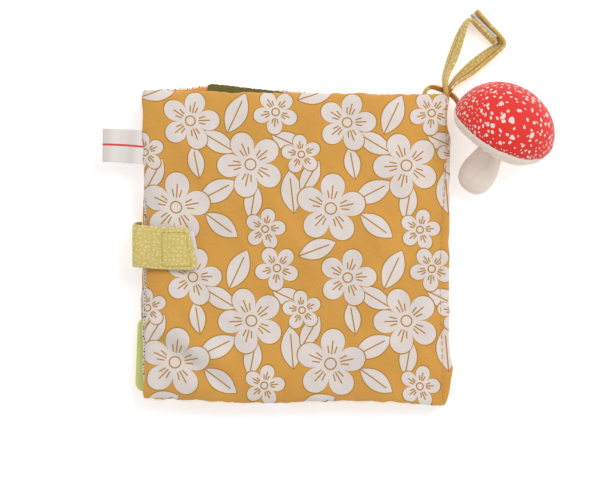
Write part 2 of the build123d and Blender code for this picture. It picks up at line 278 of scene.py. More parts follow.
def ripple(place, seed):
    """An uneven wave along an edge, from -1 to 1, with waves 11 to 29 mm long."""
    waves = ((0.029, 0.40), (0.017, 0.35), (0.0113, 0.25))
    return sum(size * np.sin(math.tau * place / wave + seed * (1.7 + i))
               for i, (wave, size) in enumerate(waves))


def swell(distance, width):
    """From 0 at an edge to 1 at a width from it, along a quarter circle."""
    share = np.clip(distance / width, 0, 1)
    return np.sqrt(1 - (1 - share) ** 2)


def spread(share, low, high):
    """Shares from -1 to 1 as places from low to high."""
    return low + (high - low) * (share + 1) / 2


def turned(x, y, degrees):
    """Places turned about Z."""
    c, s = math.cos(math.radians(degrees)), math.sin(math.radians(degrees))
    return x * c - y * s, x * s + y * c


def dense_ends(share):
    """Spread evenly spaced shares from -1 to 1 so that they lie closer at both ends."""
    return 0.55 * share + 0.45 * np.sin(share * math.pi / 2)


def round_corner(x, y, edge_x, edge_y, radius):
    """Pull points beside a square corner onto a round one; edge_x and edge_y point outwards."""
    a = np.clip(1 - np.abs(edge_x - x) / radius, 0, 1)
    b = np.clip(1 - np.abs(edge_y - y) / radius, 0, 1)
    x = x - np.sign(edge_x) * radius * a * (1 - np.sqrt(1 - b ** 2 / 2))
    y = y - np.sign(edge_y) * radius * b * (1 - np.sqrt(1 - a ** 2 / 2))
    return x, y


def smooth_route(points):
    """Points along a NURBS line that has these as its control points."""
    curve = bpy.data.curves.new("route", "CURVE")
    curve.dimensions = "3D"
    curve.resolution_u = 24
    spline = curve.splines.new("NURBS")
    spline.points.add(len(points) - 1)
    for point, place in zip(spline.points, points):
        point.co = (*place, 1)
    spline.order_u = 3
    spline.use_endpoint_u = True
    holder = bpy.data.objects.new("route", curve)
    line = bpy.data.meshes.new_from_object(holder)
    places = np.array([vertex.co for vertex in line.vertices])
    bpy.data.meshes.remove(line)
    bpy.data.objects.remove(holder)
    bpy.data.curves.remove(curve)
    return places


def unit(vectors):
    return vectors / np.linalg.norm(vectors, axis=-1, keepdims=True)


def lengths_along(route):
    return np.concatenate(([0], np.cumsum(np.linalg.norm(np.diff(route, axis=0), axis=1))))


def sample(values, lengths, at):
    """Values given along a route, read at other lengths."""
    return np.column_stack([np.interp(at, lengths, column) for column in np.asarray(values).T])


def leaning(route, degrees):
    """Directions across a tape, each leaning from upright by an angle."""
    upright = np.array((0.0, 0.0, 1.0))
    forward = unit(np.gradient(route, lengths_along(route), axis=0))
    leans = np.radians(degrees)[:, None]
    return np.sin(leans) * unit(np.cross(forward, upright)) + np.cos(leans) * upright


def new_strip(name, route, across, width, thickness, columns, rows, end=None, edge=0.5, seam=0.0):
    """A flat tape along a route. across is its width's direction, one for all or one for each point of the
    route; end gives the share of the length that is used at each place across, and the tape's half width
    is scaled by what it returns second. The map is measured across from the tape's seam."""
    slab = new_slab(name, columns, rows)
    grid = points_of(slab)
    along = lengths_along(route)
    reach, narrow = end(grid[:, 1], grid[:, 0]) if end else (1.0, 1.0)
    place = spread(grid[:, 0], 0, along[-1]) * reach
    centre = sample(route, along, place)
    forward = unit(sample(np.gradient(route, along, axis=0), along, place))
    side = sample(np.broadcast_to(across, route.shape), along, place)
    side = unit(side - forward * np.sum(side * forward, axis=1, keepdims=True))
    face = np.cross(forward, side)
    out = grid[:, 1] * narrow * width / 2
    thick = (grid[:, 2] - 0.5) * thickness * (1 - edge * np.abs(grid[:, 1]) ** 6)
    set_points(slab, centre + side * out[:, None] + face * thick[:, None])
    map_cloth(slab, place, out - seam)
    return slab


def stitch_row(name, places, directions, ups, size, thickness):
    """Short bent threads, one at each place, each lying along its direction with its back up."""
    threads = []
    for place, direction, up in zip(places, directions, ups):
        deselect()
        bpy.ops.mesh.primitive_uv_sphere_add(segments=8, ring_count=6, radius=1)
        thread = bpy.context.object
        ball = points_of(thread)
        along = np.array(direction)
        up = np.array(up)
        side = np.cross(up, along)
        ball[:, :2] *= np.maximum(1 - ball[:, 2:] ** 2, 1e-6) ** -0.25
        bow = thickness * 0.35 * (1 - ball[:, 2] ** 2)
        points = np.array(place) + along * (ball[:, 2] * size / 2)[:, None]
        points = points + side * (ball[:, 0] * thickness / 2)[:, None]
        points = points + up * (ball[:, 1] * thickness / 2 + bow)[:, None]
        set_points(thread, points)
        threads.append(thread)
    pick(*threads)
    bpy.ops.object.join()
    row = bpy.context.object
    row.name = row.data.name = name
    bpy.ops.object.shade_smooth()
    return row


# Shader helpers
class Wiring:
    """Adds nodes to one node tree and links them."""

    def __init__(self, tree):
        self.tree = tree

    def node(self, kind, inputs=None, **settings):
        made = self.tree.nodes.new(kind)
        for name, value in settings.items():
            setattr(made, name, value)
        for socket, value in (inputs or {}).items():
            self.feed(made.inputs[socket], value)
        return made

    def feed(self, socket, value):
        if isinstance(value, bpy.types.NodeSocket):
            self.tree.links.new(value, socket)
        elif socket.type == "RGBA":
            socket.default_value = (*value[:3], 1)
        else:
            socket.default_value = value

    def math(self, operation, *values):
        return self.node("ShaderNodeMath", dict(enumerate(values)), operation=operation).outputs[0]

    def vector(self, operation, *values, **named):
        inputs = {**dict(enumerate(values)), **named}
        made = self.node("ShaderNodeVectorMath", inputs, operation=operation)
        return made.outputs["Value" if operation == "LENGTH" else "Vector"]

    def turn(self, vector, angle):
        """A vector turned about Z."""
        inputs = {"Vector": vector, "Angle": angle}
        return self.node("ShaderNodeVectorRotate", inputs, rotation_type="Z_AXIS").outputs[0]

    def mix(self, share, first, second, blend="MIX"):
        inputs = {0: share, 6: first, 7: second}
        return self.node("ShaderNodeMix", inputs, data_type="RGBA", blend_type=blend).outputs[2]

    def split(self, vector):
        return self.node("ShaderNodeSeparateXYZ", {0: vector}).outputs

    def noise(self, vector, scale, detail, output="Fac"):
        inputs = {"Vector": vector, "Scale": scale, "Detail": detail}
        return self.node("ShaderNodeTexNoise", inputs).outputs[output]

    def wander(self, place, scale, detail, size):
        """Places moved about by a noise, by up to a size."""
        drift = self.noise(place, scale, detail, "Color")
        return self.vector("ADD", place, self.vector("SCALE", drift, Scale=size))

    def cells(self, vector, scale, randomness=1.0):
        inputs = {"Vector": vector, "Scale": scale, "Randomness": randomness}
        return self.node("ShaderNodeTexVoronoi", inputs, voronoi_dimensions="2D").outputs

    def between(self, value, low, high):
        """1 where a value lies between two others, else 0."""
        above = self.math("GREATER_THAN", value, low)
        return self.math("MULTIPLY", above, self.math("LESS_THAN", value, high))

    def near(self, value, target, width):
        """1 where a value lies within a width of a target, else 0."""
        return self.math("COMPARE", value, target, width)

    def ramp(self, value, low, high):
        """From 0 to 1 as a value goes from low to high."""
        inputs = {0: value, 1: low, 2: high}
        return self.node("ShaderNodeMapRange", inputs, interpolation_type="SMOOTHSTEP").outputs[0]

    def use(self, group, **inputs):
        return self.node("ShaderNodeGroup", inputs, node_tree=group).outputs


def node_group(name, outputs, **inputs):
    """Turn a function that wires a group's outputs from a place and a few values into one that builds
    the group the first time that it is asked for."""
    def wrap(wire):
        def once():
            group = bpy.data.node_groups.get(name)
            if group:
                return group
            group = bpy.data.node_groups.new(name, "ShaderNodeTree")
            group.interface.new_socket("Place", in_out="INPUT", socket_type="NodeSocketVector")
            for socket, value in inputs.items():
                made = group.interface.new_socket(socket, in_out="INPUT", socket_type="NodeSocketFloat")
                made.default_value = value
            for socket in outputs:
                group.interface.new_socket(socket, in_out="OUTPUT", socket_type="NodeSocketFloat")
            w = Wiring(group)
            values = wire(w, w.node("NodeGroupInput").outputs)
            w.node("NodeGroupOutput", dict(zip(outputs, values)))
            return group
        return once
    return wrap


@node_group("plain_weave", ("Height", "Shade", "Grain"), Pitch=0.0005, Unevenness=0.3)
def weave_group(w, start):
    """Plain weave: crossing threads, a little uneven."""
    x, y, _ = w.split(start["Place"])
    turns = [w.math("DIVIDE", w.math("MULTIPLY", axis, math.tau), start["Pitch"]) for axis in (x, y)]
    threads = w.math("MULTIPLY", w.math("SINE", turns[0]), w.math("SINE", turns[1]))
    slubs = w.noise(start["Place"], 900.0, 2.0)
    height = w.math("MULTIPLY_ADD", slubs, start["Unevenness"], w.math("MULTIPLY", threads, 0.5))
    return height, w.noise(start["Place"], 38.0, 4.0), slubs


@node_group("scattered_dots", ["Dots"], Spacing=0.0022, Size=0.2)
def dot_group(w, start):
    """Small irregular dots scattered on a cloth."""
    place = w.wander(start["Place"], 700.0, 1.0, 0.0004)
    cells = w.cells(place, w.math("DIVIDE", 1.0, start["Spacing"]), randomness=0.62)
    chance = w.split(cells["Color"])[0]
    limit = w.math("MULTIPLY_ADD", chance, 0.12, start["Size"])
    return [w.ramp(w.math("SUBTRACT", limit, cells["Distance"]), -0.05, 0.06)]


def motif_place(w, start):
    """A point's offset from the middle of a motif that repeats in both directions."""
    x, y, _ = w.split(start["Place"])
    half = w.math("MULTIPLY", start["Repeat"], 0.5)
    low = w.math("MULTIPLY", half, -1.0)
    return [w.math("WRAP", w.math("SUBTRACT", axis, start[name]), half, low)
            for axis, name in ((x, "Across"), (y, "Up"))]


# Values of a motif: size of the print's repeat, the motif's place in it, turn and size, half its line width
MOTIF = {"Repeat": 0.092, "Across": 0.0, "Up": 0.0, "Turn": 0.0, "Radius": 0.02, "Line": 0.0004}


@node_group("blossom", ("Fill", "Lines"), **MOTIF)
def blossom_group(w, start):
    """One open five-petalled flower with a ring and fine strokes from its middle."""
    petals = 5
    x, y = motif_place(w, start)
    reach = w.math("SQRT", w.math("ADD", w.math("MULTIPLY", x, x), w.math("MULTIPLY", y, y)))
    bearing = w.math("SUBTRACT", w.math("ARCTAN2", y, x), start["Turn"])
    lobe = w.math("ABSOLUTE", w.math("COSINE", w.math("MULTIPLY", bearing, petals / 2)))
    edge = w.math("MULTIPLY_ADD", w.math("POWER", lobe, 0.5), 0.62, 0.38)
    edge = w.math("MULTIPLY", edge, start["Radius"])
    line = start["Line"]
    ring = w.near(reach, w.math("MULTIPLY", start["Radius"], 0.16), line)
    lines = w.math("MAXIMUM", w.near(reach, edge, line), ring)
    off_axis = w.math("WRAP", bearing, math.pi / petals, -math.pi / petals)
    share = w.math("DIVIDE", reach, start["Radius"])
    for lean, low, high in ((0.0, 0.27, 0.66), (0.26, 0.30, 0.52)):
        aside = w.math("SUBTRACT", w.math("ABSOLUTE", off_axis), lean)
        stroke = w.near(w.math("MULTIPLY", aside, reach), 0.0, line)
        stroke = w.math("MULTIPLY", stroke, w.between(share, low, high))
        lines = w.math("MAXIMUM", lines, stroke)
    return w.math("LESS_THAN", reach, edge), lines


@node_group("leaf", ("Fill", "Lines"), **MOTIF)
def leaf_group(w, start):
    """One almond-shaped leaf with a midrib."""
    fullness = 0.5
    x, y = motif_place(w, start)
    place = w.node("ShaderNodeCombineXYZ", {0: x, 1: y}).outputs[0]
    along, aside, _ = w.split(w.turn(place, w.math("MULTIPLY", start["Turn"], -1.0)))
    share = w.math("DIVIDE", along, start["Radius"])
    edge = w.math("SUBTRACT", 1.0, w.math("MULTIPLY", share, share))
    edge = w.math("MULTIPLY", edge, w.math("MULTIPLY", start["Radius"], fullness))
    off_axis = w.math("ABSOLUTE", aside)
    line = start["Line"]
    outline = w.math("MULTIPLY", w.near(off_axis, edge, line), w.between(share, -1.02, 1.02))
    midrib = w.math("MULTIPLY", w.math("LESS_THAN", off_axis, line), w.between(share, -1.0, 0.62))
    return w.math("LESS_THAN", off_axis, edge), w.math("MAXIMUM", outline, midrib)


# The print's repeat: leaves below, blossoms over them, as (across, up, turn in degrees, radius), in mm
PRINT_LEAVES = ((45, 33, 28, 13), (47, 13, -35, 12), (89, 33, 95, 13), (46, 62, 150, 12), (57, 79, 65, 13),
                (12, 91, 20, 12), (88, 62, -25, 12), (8, 42, 60, 11), (66, 27, 80, 11), (33, 50, 100, 10))
PRINT_BLOSSOMS = ((73, 11, 5, 12.5), (3, 55, 25, 12), (80, 80, 50, 13.5), (20, 23, 12, 21), (65, 49, 40, 20),
                  (30, 74, 75, 17.5))


@node_group("flower_print", ("Fill", "Lines"), Repeat=MOTIF["Repeat"])
def print_group(w, start):
    """The whole flower print: pale fills and fine lines."""
    fill, lines = 0.0, 0.0
    layers = [(leaf_group(), motif) for motif in PRINT_LEAVES]
    layers += [(blossom_group(), motif) for motif in PRINT_BLOSSOMS]
    for motif_group, (across, up, turn, radius) in layers:
        motif = w.use(motif_group, Place=start["Place"], Repeat=start["Repeat"], Across=across * MM,
                      Up=up * MM, Turn=math.radians(turn), Radius=radius * MM)
        bare = w.math("SUBTRACT", 1.0, motif["Fill"])
        lines = w.math("MAXIMUM", w.math("MULTIPLY", lines, bare), motif["Lines"])
        fill = w.math("MAXIMUM", fill, motif["Fill"])
    return fill, lines


@node_group("page_dashes", ["Dashes"], Spacing=0.0042)
def dash_group(w, start):
    """Short dark dashes at all angles."""
    half_length, half_width = 0.0012, 0.00028
    cells = w.cells(start["Place"], w.math("DIVIDE", 1.0, start["Spacing"]))
    offset = w.vector("SUBTRACT", cells["Position"], start["Place"])
    angle = w.math("MULTIPLY", w.split(cells["Color"])[1], math.pi)
    along, aside, _ = w.split(w.turn(offset, angle))
    return [w.math("MULTIPLY", w.near(along, 0.0, half_length), w.near(aside, 0.0, half_width))]


@node_group("toadstool_spots", ["Spots"], Spacing=0.0074, Crowding=34.0)
def spot_group(w, start):
    """Irregular pale spots, large about the origin and smaller and denser away from it."""
    away = w.vector("LENGTH", start["Place"])
    stretch = w.math("MULTIPLY_ADD", away, start["Crowding"], 1.0)
    place = w.wander(w.vector("SCALE", start["Place"], Scale=stretch), 240.0, 0.0, 0.0030)
    cells = w.cells(place, w.math("DIVIDE", 1.0, start["Spacing"]), randomness=0.8)
    chance = w.split(cells["Color"])[0]
    limit = w.math("MULTIPLY_ADD", w.math("MULTIPLY", chance, chance), 0.24, 0.14)
    return [w.ramp(w.math("SUBTRACT", limit, cells["Distance"]), -0.01, 0.03)]


# Materials
def new_material(name, roughness=0.85, sheen=0.25, specular=0.25):
    """A material with one principled shader, its wiring and the shader's sockets."""
    material = bpy.data.materials.new(name + "_look")
    material.use_nodes = True
    material.node_tree.nodes.clear()
    w = Wiring(material.node_tree)
    inputs = {"Roughness": roughness, "Sheen Weight": sheen, "Specular IOR Level": specular}
    shader = w.node("ShaderNodeBsdfPrincipled", {**inputs, "Sheen Roughness": 0.5})
    w.node("ShaderNodeOutputMaterial", {"Surface": shader.outputs[0]})
    return material, w, shader.inputs


def place_on(w, source="UV"):
    return w.node("ShaderNodeTexCoord").outputs[source]


def shaded(tint, share):
    """A colour at a share of its strength."""
    return [share * value for value in tint]


def emboss(w, shader, height, depth, strength, invert=False):
    """Fine relief in a shader's normal."""
    inputs = {"Height": height, "Distance": depth, "Strength": strength}
    w.feed(shader["Normal"], w.node("ShaderNodeBump", inputs, invert=invert).outputs[0])


def finish_cloth(w, shader, place, tint, fade, pitch=0.0005, depth=0.00006):
    """Weave relief, and a soft unevenness and a fine grain of colour over the tint."""
    weave = w.use(weave_group(), Place=place, Pitch=pitch)
    darker = w.mix(1.0, tint, (1 - fade, 1 - fade * 1.15, 1 - fade * 1.3), "MULTIPLY")
    cloudy = w.math("MULTIPLY", w.ramp(weave["Shade"], 0.38, 0.66), 0.55)
    cloudy = w.math("MULTIPLY_ADD", w.ramp(weave["Grain"], 0.34, 0.66), 0.45, cloudy)
    w.feed(shader["Base Color"], w.mix(cloudy, tint, darker))
    emboss(w, shader, weave["Height"], depth, 0.6)


def look(**settings):
    """Turn a function that wires a shader into one that makes its material the first time that it is
    asked for."""
    def wrap(wire):
        def once(colours, *values):
            found = bpy.data.materials.get(wire.__name__ + "_look")
            if found:
                return found
            material, w, shader = new_material(wire.__name__, **settings)
            wire(w, shader, colours, *values)
            return material
        return once
    return wrap


@look(roughness=0.8)
def print_cloth(w, shader, colours):
    """Mustard cotton with a pale flower print."""
    place = place_on(w)
    flowers = w.use(print_group(), Place=place, Repeat=bpy.context.scene.soft_book_covers.repeat)
    tint = w.mix(flowers["Fill"], colours.ground, colours.petals)
    tint = w.mix(flowers["Lines"], tint, colours.outlines)
    finish_cloth(w, shader, place, tint, fade=0.11)


@look()
def lining_cloth(w, shader, colours):
    """Plain orange cotton."""
    finish_cloth(w, shader, place_on(w), colours.lining, fade=0.1)


@look()
def page_cloth(w, shader, colours):
    """White cotton with dark dashes, and a dashed line along its fore-edge."""
    pitch, inset, half_width = 0.0019, 0.0007, 0.0003
    place = place_on(w)
    dashes = w.use(dash_group(), Place=place)
    across, up, _ = w.split(place)
    drawn = w.math("GREATER_THAN", w.math("SINE", w.math("MULTIPLY", up, math.tau / pitch)), 0.3)
    border = w.math("MULTIPLY", w.near(across, PAGES_LOW.x + inset, half_width), drawn)
    marks = w.math("MAXIMUM", dashes["Dashes"], border)
    finish_cloth(w, shader, place, w.mix(marks, colours.page, colours.dashes), fade=0.05)


@look()
def orange_page(w, shader, colours):
    """Orange page with a dashed white border at its top edge."""
    width = 0.0011
    place = place_on(w)
    border = w.math("GREATER_THAN", w.split(place)[1], PAGES_HIGH.y - width)
    dashes = w.use(dash_group(), Place=place, Spacing=0.0026)
    edge = w.mix(dashes["Dashes"], colours.page, colours.dashes)
    finish_cloth(w, shader, place, w.mix(border, colours.lining, edge), fade=0.08)


def dotted(w, shader, colours, ground, spacing, size, seam=0.0):
    """Cotton with scattered cream dots, and a sewn line of some width along the middle of its map."""
    place = place_on(w)
    dots = w.use(dot_group(), Place=place, Spacing=spacing, Size=size)
    tint = w.mix(dots["Dots"], ground, colours.dots)
    if seam:
        sewn = w.near(w.split(place)[1], 0.0, seam / 2)
        tint = w.mix(sewn, tint, colours.ochre)
    finish_cloth(w, shader, place, tint, fade=0.12)


@look()
def strap_cloth(w, shader, colours):
    """Chartreuse cotton with dots."""
    dotted(w, shader, colours, colours.strap, spacing=0.0024, size=0.19)


@look()
def hang_cloth(w, shader, colours):
    """Golden cotton with dots and a seam."""
    dotted(w, shader, colours, colours.hang_tape, spacing=0.0023, size=0.17, seam=0.0007)


@look(roughness=0.38, sheen=0.1, specular=0.5)
def satin_ribbon(w, shader, colours):
    """White satin with a red stripe along its middle, and its shine painted into the colour as soft lighter
    and darker stretches along it.
    """
    off_middle, half_stripe, thread_pitch = 0.0004, 0.00062, 0.00035
    along, across, _ = w.split(place_on(w))
    painted_sheen = w.noise(w.node("ShaderNodeCombineXYZ", {0: along}).outputs[0], 130.0, 0.0)
    # Painted sheen: the satin is lighter and darker in soft stretches along the ribbon, standing for its
    # shine.
    satin = w.mix(w.ramp(painted_sheen, 0.35, 0.7), colours.ribbon, shaded(colours.ribbon, 0.84))
    stripe = w.near(across, off_middle, half_stripe)
    w.feed(shader["Base Color"], w.mix(stripe, satin, colours.stripe))
    threads = w.math("SINE", w.math("MULTIPLY", along, math.tau / thread_pitch))
    emboss(w, shader, threads, 0.00002, 0.5)


@look(roughness=0.6, sheen=0.4)
def hook_tape(w, shader, colours):
    """White tape covered with fine hooks, with painted shade in the gaps between them."""
    hooks = w.cells(place_on(w), 1600.0)["Distance"]
    # Painted shade: the tape is darker away from each hook, in the hollows between the hooks.
    tint = w.mix(w.ramp(hooks, 0.1, 0.6), colours.hook_tape, shaded(colours.hook_tape, 0.84))
    w.feed(shader["Base Color"], tint)
    emboss(w, shader, hooks, 0.0002, 0.8, invert=True)


@look(roughness=0.75, sheen=0.15)
def cap_cloth(w, shader, colours):
    """Red jersey with pale spots that are larger on the side that shows."""
    place = place_on(w)
    spots = w.use(spot_group(), Place=place)
    finish_cloth(w, shader, place, w.mix(spots["Spots"], colours.cap, colours.spots), fade=0.1, pitch=0.0006)


@look(roughness=0.8)
def cream_cloth(w, shader, colours):
    """Plain cream jersey."""
    finish_cloth(w, shader, place_on(w, "Object"), colours.cream, fade=0.08, pitch=0.0006)


@look(roughness=0.8)
def stem_cloth(w, shader, colours):
    """Cream jersey with a seam along the middle of its map."""
    half_seam = 0.00015
    seam = w.near(w.split(place_on(w))[0], 0.0, half_seam)
    tint = w.mix(seam, colours.cream, colours.seam)
    finish_cloth(w, shader, place_on(w, "Object"), tint, fade=0.08, pitch=0.0006)


@look()
def ochre_tape(w, shader, colours, turn):
    """Narrow woven tape, golden where it rises from the pages; past the turn it is ochre, partly its inner
    face and partly painted shade, and only one edge is golden.
    """
    soft, golden_edge = 0.0006, -0.0007
    place = place_on(w)
    along, across, _ = w.split(place)
    # Painted shade: past the turn the darker ochre stands for the tape's inner face and for the shade on that
    # stretch.
    inner_face_and_painted_shade = w.math("MULTIPLY", w.ramp(along, turn - soft, turn + soft),
                   w.math("GREATER_THAN", across, golden_edge))
    tint = w.mix(inner_face_and_painted_shade, colours.hang_tape, colours.ochre)
    finish_cloth(w, shader, place, tint, fade=0.25, pitch=0.0007, depth=0.0001)


@look(roughness=0.6)
def ochre_thread(w, shader, colours):
    """Twisted sewing thread of the spine."""
    finish_cloth(w, shader, place_on(w, "Object"), colours.thread, fade=0.2, pitch=0.0004)


@look(roughness=0.6)
def strap_thread(w, shader, colours):
    """Twisted sewing thread, a little darker than the strap."""
    finish_cloth(w, shader, place_on(w, "Object"), shaded(colours.strap, 0.84), fade=0.2, pitch=0.0004)


@look(roughness=0.95, sheen=0.6)
def olive_felt(w, shader, colours):
    """Matted felt with a fuzzy surface, darker where the fuzz is low: partly the fibres' own tone and partly
    painted shade in its hollows.
    """
    fibres = w.noise(place_on(w), 1500.0, 6.0)
    # Partly painted shade: the felt is darker where its fuzz is low, which is also where its relief is
    # lowest.
    tint = w.mix(w.ramp(fibres, 0.3, 0.7), shaded(colours.felt, 0.6), colours.felt)
    w.feed(shader["Base Color"], tint)
    emboss(w, shader, fibres, 0.0004, 0.9)


@look(roughness=0.6, sheen=0.15)
def lime_cloth(w, shader, colours):
    """Smooth lime cloth."""
    finish_cloth(w, shader, place_on(w), colours.lime, fade=0.08, pitch=0.0004, depth=0.00003)


# Edges, as pairs of the place along the edge and its shift from straight towards +X or +Y, in mm
TOP_EDGE = ((-91, 2.2), (-63, 0.9), (-27, 0.0), (32, -0.3), (61, -1.2), (88, 0.0))
BOTTOM_EDGE = ((-90, 2.7), (-67, 1.5), (-22, -0.8), (26, 0.9), (49, 0.8), (58, 0.3), (66, -0.8), (76, -2.0),
               (88, -2.2))
LEFT_EDGE = ((-91, -0.4), (-75, 0.2), (-60, 0.6), (-38, 1.0), (-25, 1.4), (0, 1.5), (22, 1.4), (41, 0.0),
             (55, -0.7), (91, -1.3))
PAGE_LEFT_EDGE = ((-91, 1.0), (-85, 0.8), (-70, 0.1), (-40, 0.2), (-25, 0.7), (0, 0.9), (30, 1.0), (48, 1.4),
                  (91, 1.4))
FRONT_LEFT_EDGE = ((-91, 1.7), (-84, 1.6), (-60, 0.6), (-38, 0.2), (-25, 0.3), (-19, 0.8), (-12, 1.3),
                   (22, 1.5), (40, 2.0), (91, 2.2))
SPINE_EDGE = ((-96, -4.4), (-92, -1.6), (-89, 0.1), (-85, 1.0), (-81, 1.5), (-71, 2.5), (-60, 0.5),
              (-40, 0.3), (20, 0.5), (38, 0.8), (46, 0.4), (56, 0.9), (64, 1.6), (70, -0.2), (75, -1.3),
              (81, -1.1), (86, 0.5), (92, 1.0))
STITCH_LINE = ((-89, 1.4), (-51, 0.4), (-20, -0.8), (8, 0.4), (32, 1.9), (52, 2.9), (65, 3.3), (92, 3.2))
LEAF_RISE = ((-92, -1.2), (-82, -0.8), (-73, 0.7), (-62, 1.6), (-54, 2.7), (-44, 2.6), (-30, 0.8), (-18, 1.0),
             (-6, 0.7), (3, 0.0), (8, -1.2), (92, -1.5))
LEAF_SINK = ((-92, -1.6), (92, -1.6))
# Covers at the seam, in mm: X where the strip outside the stitches begins to round over, X of its outer
# edge, and the thickness of its cloth
STRIP_FLAT, STRIP_EDGE, SEAM_CLOTH = 88.8, 90.2, 0.6
# Depth of the valley along the stitches, in metres
SEAM_DEPTH = 0.00032


def panel_plan(grid, low, high, sizes, warp=1.0, seed=0.0, fore_edge=LEFT_EDGE):
    """Plan of a sewn panel: edges a little out of straight, with gathers, and distances to its edges."""
    x = spread(dense_ends(grid[:, 0]), low.x, high.x)
    y = spread(dense_ends(grid[:, 1]), low.y, high.y)
    to_edges = (x - low.x, high.y - y, y - low.y)
    flat = (x.copy(), y.copy())
    for edge_y, radius in ((low.y, 0.4 * sizes.corner), (high.y, sizes.corner)):
        x, y = round_corner(x, y, low.x, edge_y, radius)
    upper = ((1 + grid[:, 1]) / 2) ** 2
    lower = ((1 - grid[:, 1]) / 2) ** 2
    left = ((1 - grid[:, 0]) / 2) ** 2
    shift_y = smooth_line(TOP_EDGE, x, 18) * upper + smooth_line(BOTTOM_EDGE, x, 18) * lower
    shift_x = smooth_line(fore_edge, y, 8) * left
    fade, fine_wave = 0.006, 0.0074
    fades = [np.exp(-distance / fade) for distance in to_edges]
    shift_y = shift_y * warp + sizes.pucker * (ripple(x, seed) * fades[1] + ripple(x, seed + 4) * fades[2])
    fine = np.sin(math.tau * x / fine_wave + 4 * ripple(x, seed + 5))
    shift_y = shift_y + 0.6 * sizes.pucker * fine * (fades[1] ** 2 - fades[2] ** 2)
    shift_x = shift_x + sizes.pucker * ripple(y, seed + 2) * fades[0]
    gathers = ripple(x, seed + 1) * (fades[1] + fades[2]) + ripple(y, seed + 3) * fades[0]
    return x + shift_x, y + shift_y, to_edges, flat, gathers


def padded_heights(grid, to_edges, sizes, roll, top, bottom, seat):
    """Heights of a padded panel: both faces round down to a thin sewn rim on its three free edges,
    which lies at a share of the panel's thickness."""
    full = np.prod([swell(distance, roll) for distance in to_edges], axis=0)
    middle = bottom + seat * (top - bottom)
    rim = np.minimum(sizes.rim / 2, 0.3 * (top - bottom))
    upper = middle + rim + (top - middle - rim) * full
    lower = middle - rim - (middle - rim - bottom) * full
    return np.where(grid[:, 2] > 0.5, upper, lower)


def spine_edge(y):
    """How far the wavy edge of the sewn spine lies from its straight line."""
    return smooth_line(SPINE_EDGE, y, 5) + 0.0005 * ripple(y, 6.0)


def stitch_place(y):
    """X of the stitches, whose line wanders a little."""
    return STITCH_X + smooth_line(STITCH_LINE, y, 12)


def spine_seam(x, y):
    """Depth of a cover's cloth along the stitches: a valley with small gathers beside it, 1 at most."""
    valley, pitch, pleat_place, pleat_width = 0.0009, 0.0088, 0.0022, 0.0018
    aside = x - stitch_place(y)
    pleats = np.sin(math.tau * y / pitch + 2.5 * ripple(y, 2.0))
    beside = np.exp(-((np.abs(aside) - pleat_place) / pleat_width) ** 2)
    return np.exp(-(aside / valley) ** 2) - 0.55 * pleats * beside


def bump_at(x, y, middle_x, middle_y, long, wide, turn):
    """A soft oval swelling of height 1; places and sizes in mm, turn in degrees."""
    along, aside = turned(x - middle_x * MM, y - middle_y * MM, -turn)
    return np.exp(-(along / (long * MM)) ** 2 - (aside / (wide * MM)) ** 2)


def new_cover(name, low, high, sizes, **plan):
    """A cover's slab, its own grid and plan, and the pull of the spine's wavy edge on it."""
    panel = new_slab(name, 112, 88)
    grid = points_of(panel)
    far = Vector((SPINE_HIGH.x, high.y, high.z))
    x, y, to_edges, flat, gathers = panel_plan(grid, low, far, sizes, **plan)
    pull = spine_edge(y) * ((1 + grid[:, 0]) / 2) ** 12
    return panel, grid, x, y, to_edges, flat, gathers, pull


def finish_cover(panel, node, colours):
    """Round a cover, dress it in print and lining and bake its place into its mesh."""
    soften(panel)
    dress(panel, None, "cover_cloth", [node], print_cloth(colours), lining_cloth(colours))
    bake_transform(panel)


class SOFTBOOK_OT_back_cover(bpy.types.Operator):
    """Printed padded panel on top of the closed book, sewn into the spine"""
    bl_idname = "softbook.back_cover"
    bl_label = "Back cover"

    # Folds and hollows of the cloth, as (height, middle x, middle y, long, wide, turn in degrees), in mm
    FOLDS = ((2.2, -60, -57, 34, 7, -33), (-3.0, -68, -66, 30, 5, -33), (0.9, 10, 20, 60, 50, 0),
             (-1.0, -70, 0, 26, 17, 0), (1.2, 22, -66, 26, 9, 8), (-1.1, 30, -50, 30, 8, 12))

    def execute(self, context):
        sizes = context.scene.soft_book_covers
        panel, grid, x, y, to_edges, flat, gathers, pull = new_cover(
            "back_cover_cloth", BACK_LOW, BACK_HIGH, sizes)
        crown, hinge, seam = BACK_HIGH.z / MM, BACK_HINGE / MM, SPINE_HIGH.z / MM
        under = crown - sizes.padding / MM
        top = smooth_line(((-120, crown), (40, crown), (50, crown - 1.0), (hinge.x, hinge.z + 1.4),
                           (STITCH_X / MM, seam + SEAM_CLOTH), (STRIP_FLAT, seam + SEAM_CLOTH),
                           (STRIP_EDGE, seam - 0.8)), x, 1)
        bottom = smooth_line(((-120, under), (51, under), (hinge.x, hinge.z - 0.6), (STITCH_X / MM, seam),
                              (STRIP_FLAT, seam), (STRIP_EDGE, seam - 1.3)), x, 1)
        x = x + pull
        z = padded_heights(grid, to_edges, sizes, sizes.roll, top, bottom, 0.2)
        relief = sum(height * bump_at(x, y, *fold) for height, *fold in self.FOLDS)
        relief += 0.5 * ripple(x + 0.6 * y, 5) * swell(np.minimum(*to_edges[1:]), 0.05)
        inside = swell(to_edges[0], 0.02) * swell(np.maximum(BACK_HINGE.x - x, 0), 0.03)
        z += np.where(grid[:, 2] > 0.5, relief * MM * inside, 0)
        z += sizes.pucker * gathers - SEAM_DEPTH * spine_seam(x, y)
        set_points(panel, x, y, z)
        map_cloth(panel, flat[0] + pull, flat[1])
        face_rows(panel, lambda face: face.normal.z < -0.5)
        finish_cover(panel, "back_cover", context.scene.soft_book_colours)
        return {"FINISHED"}


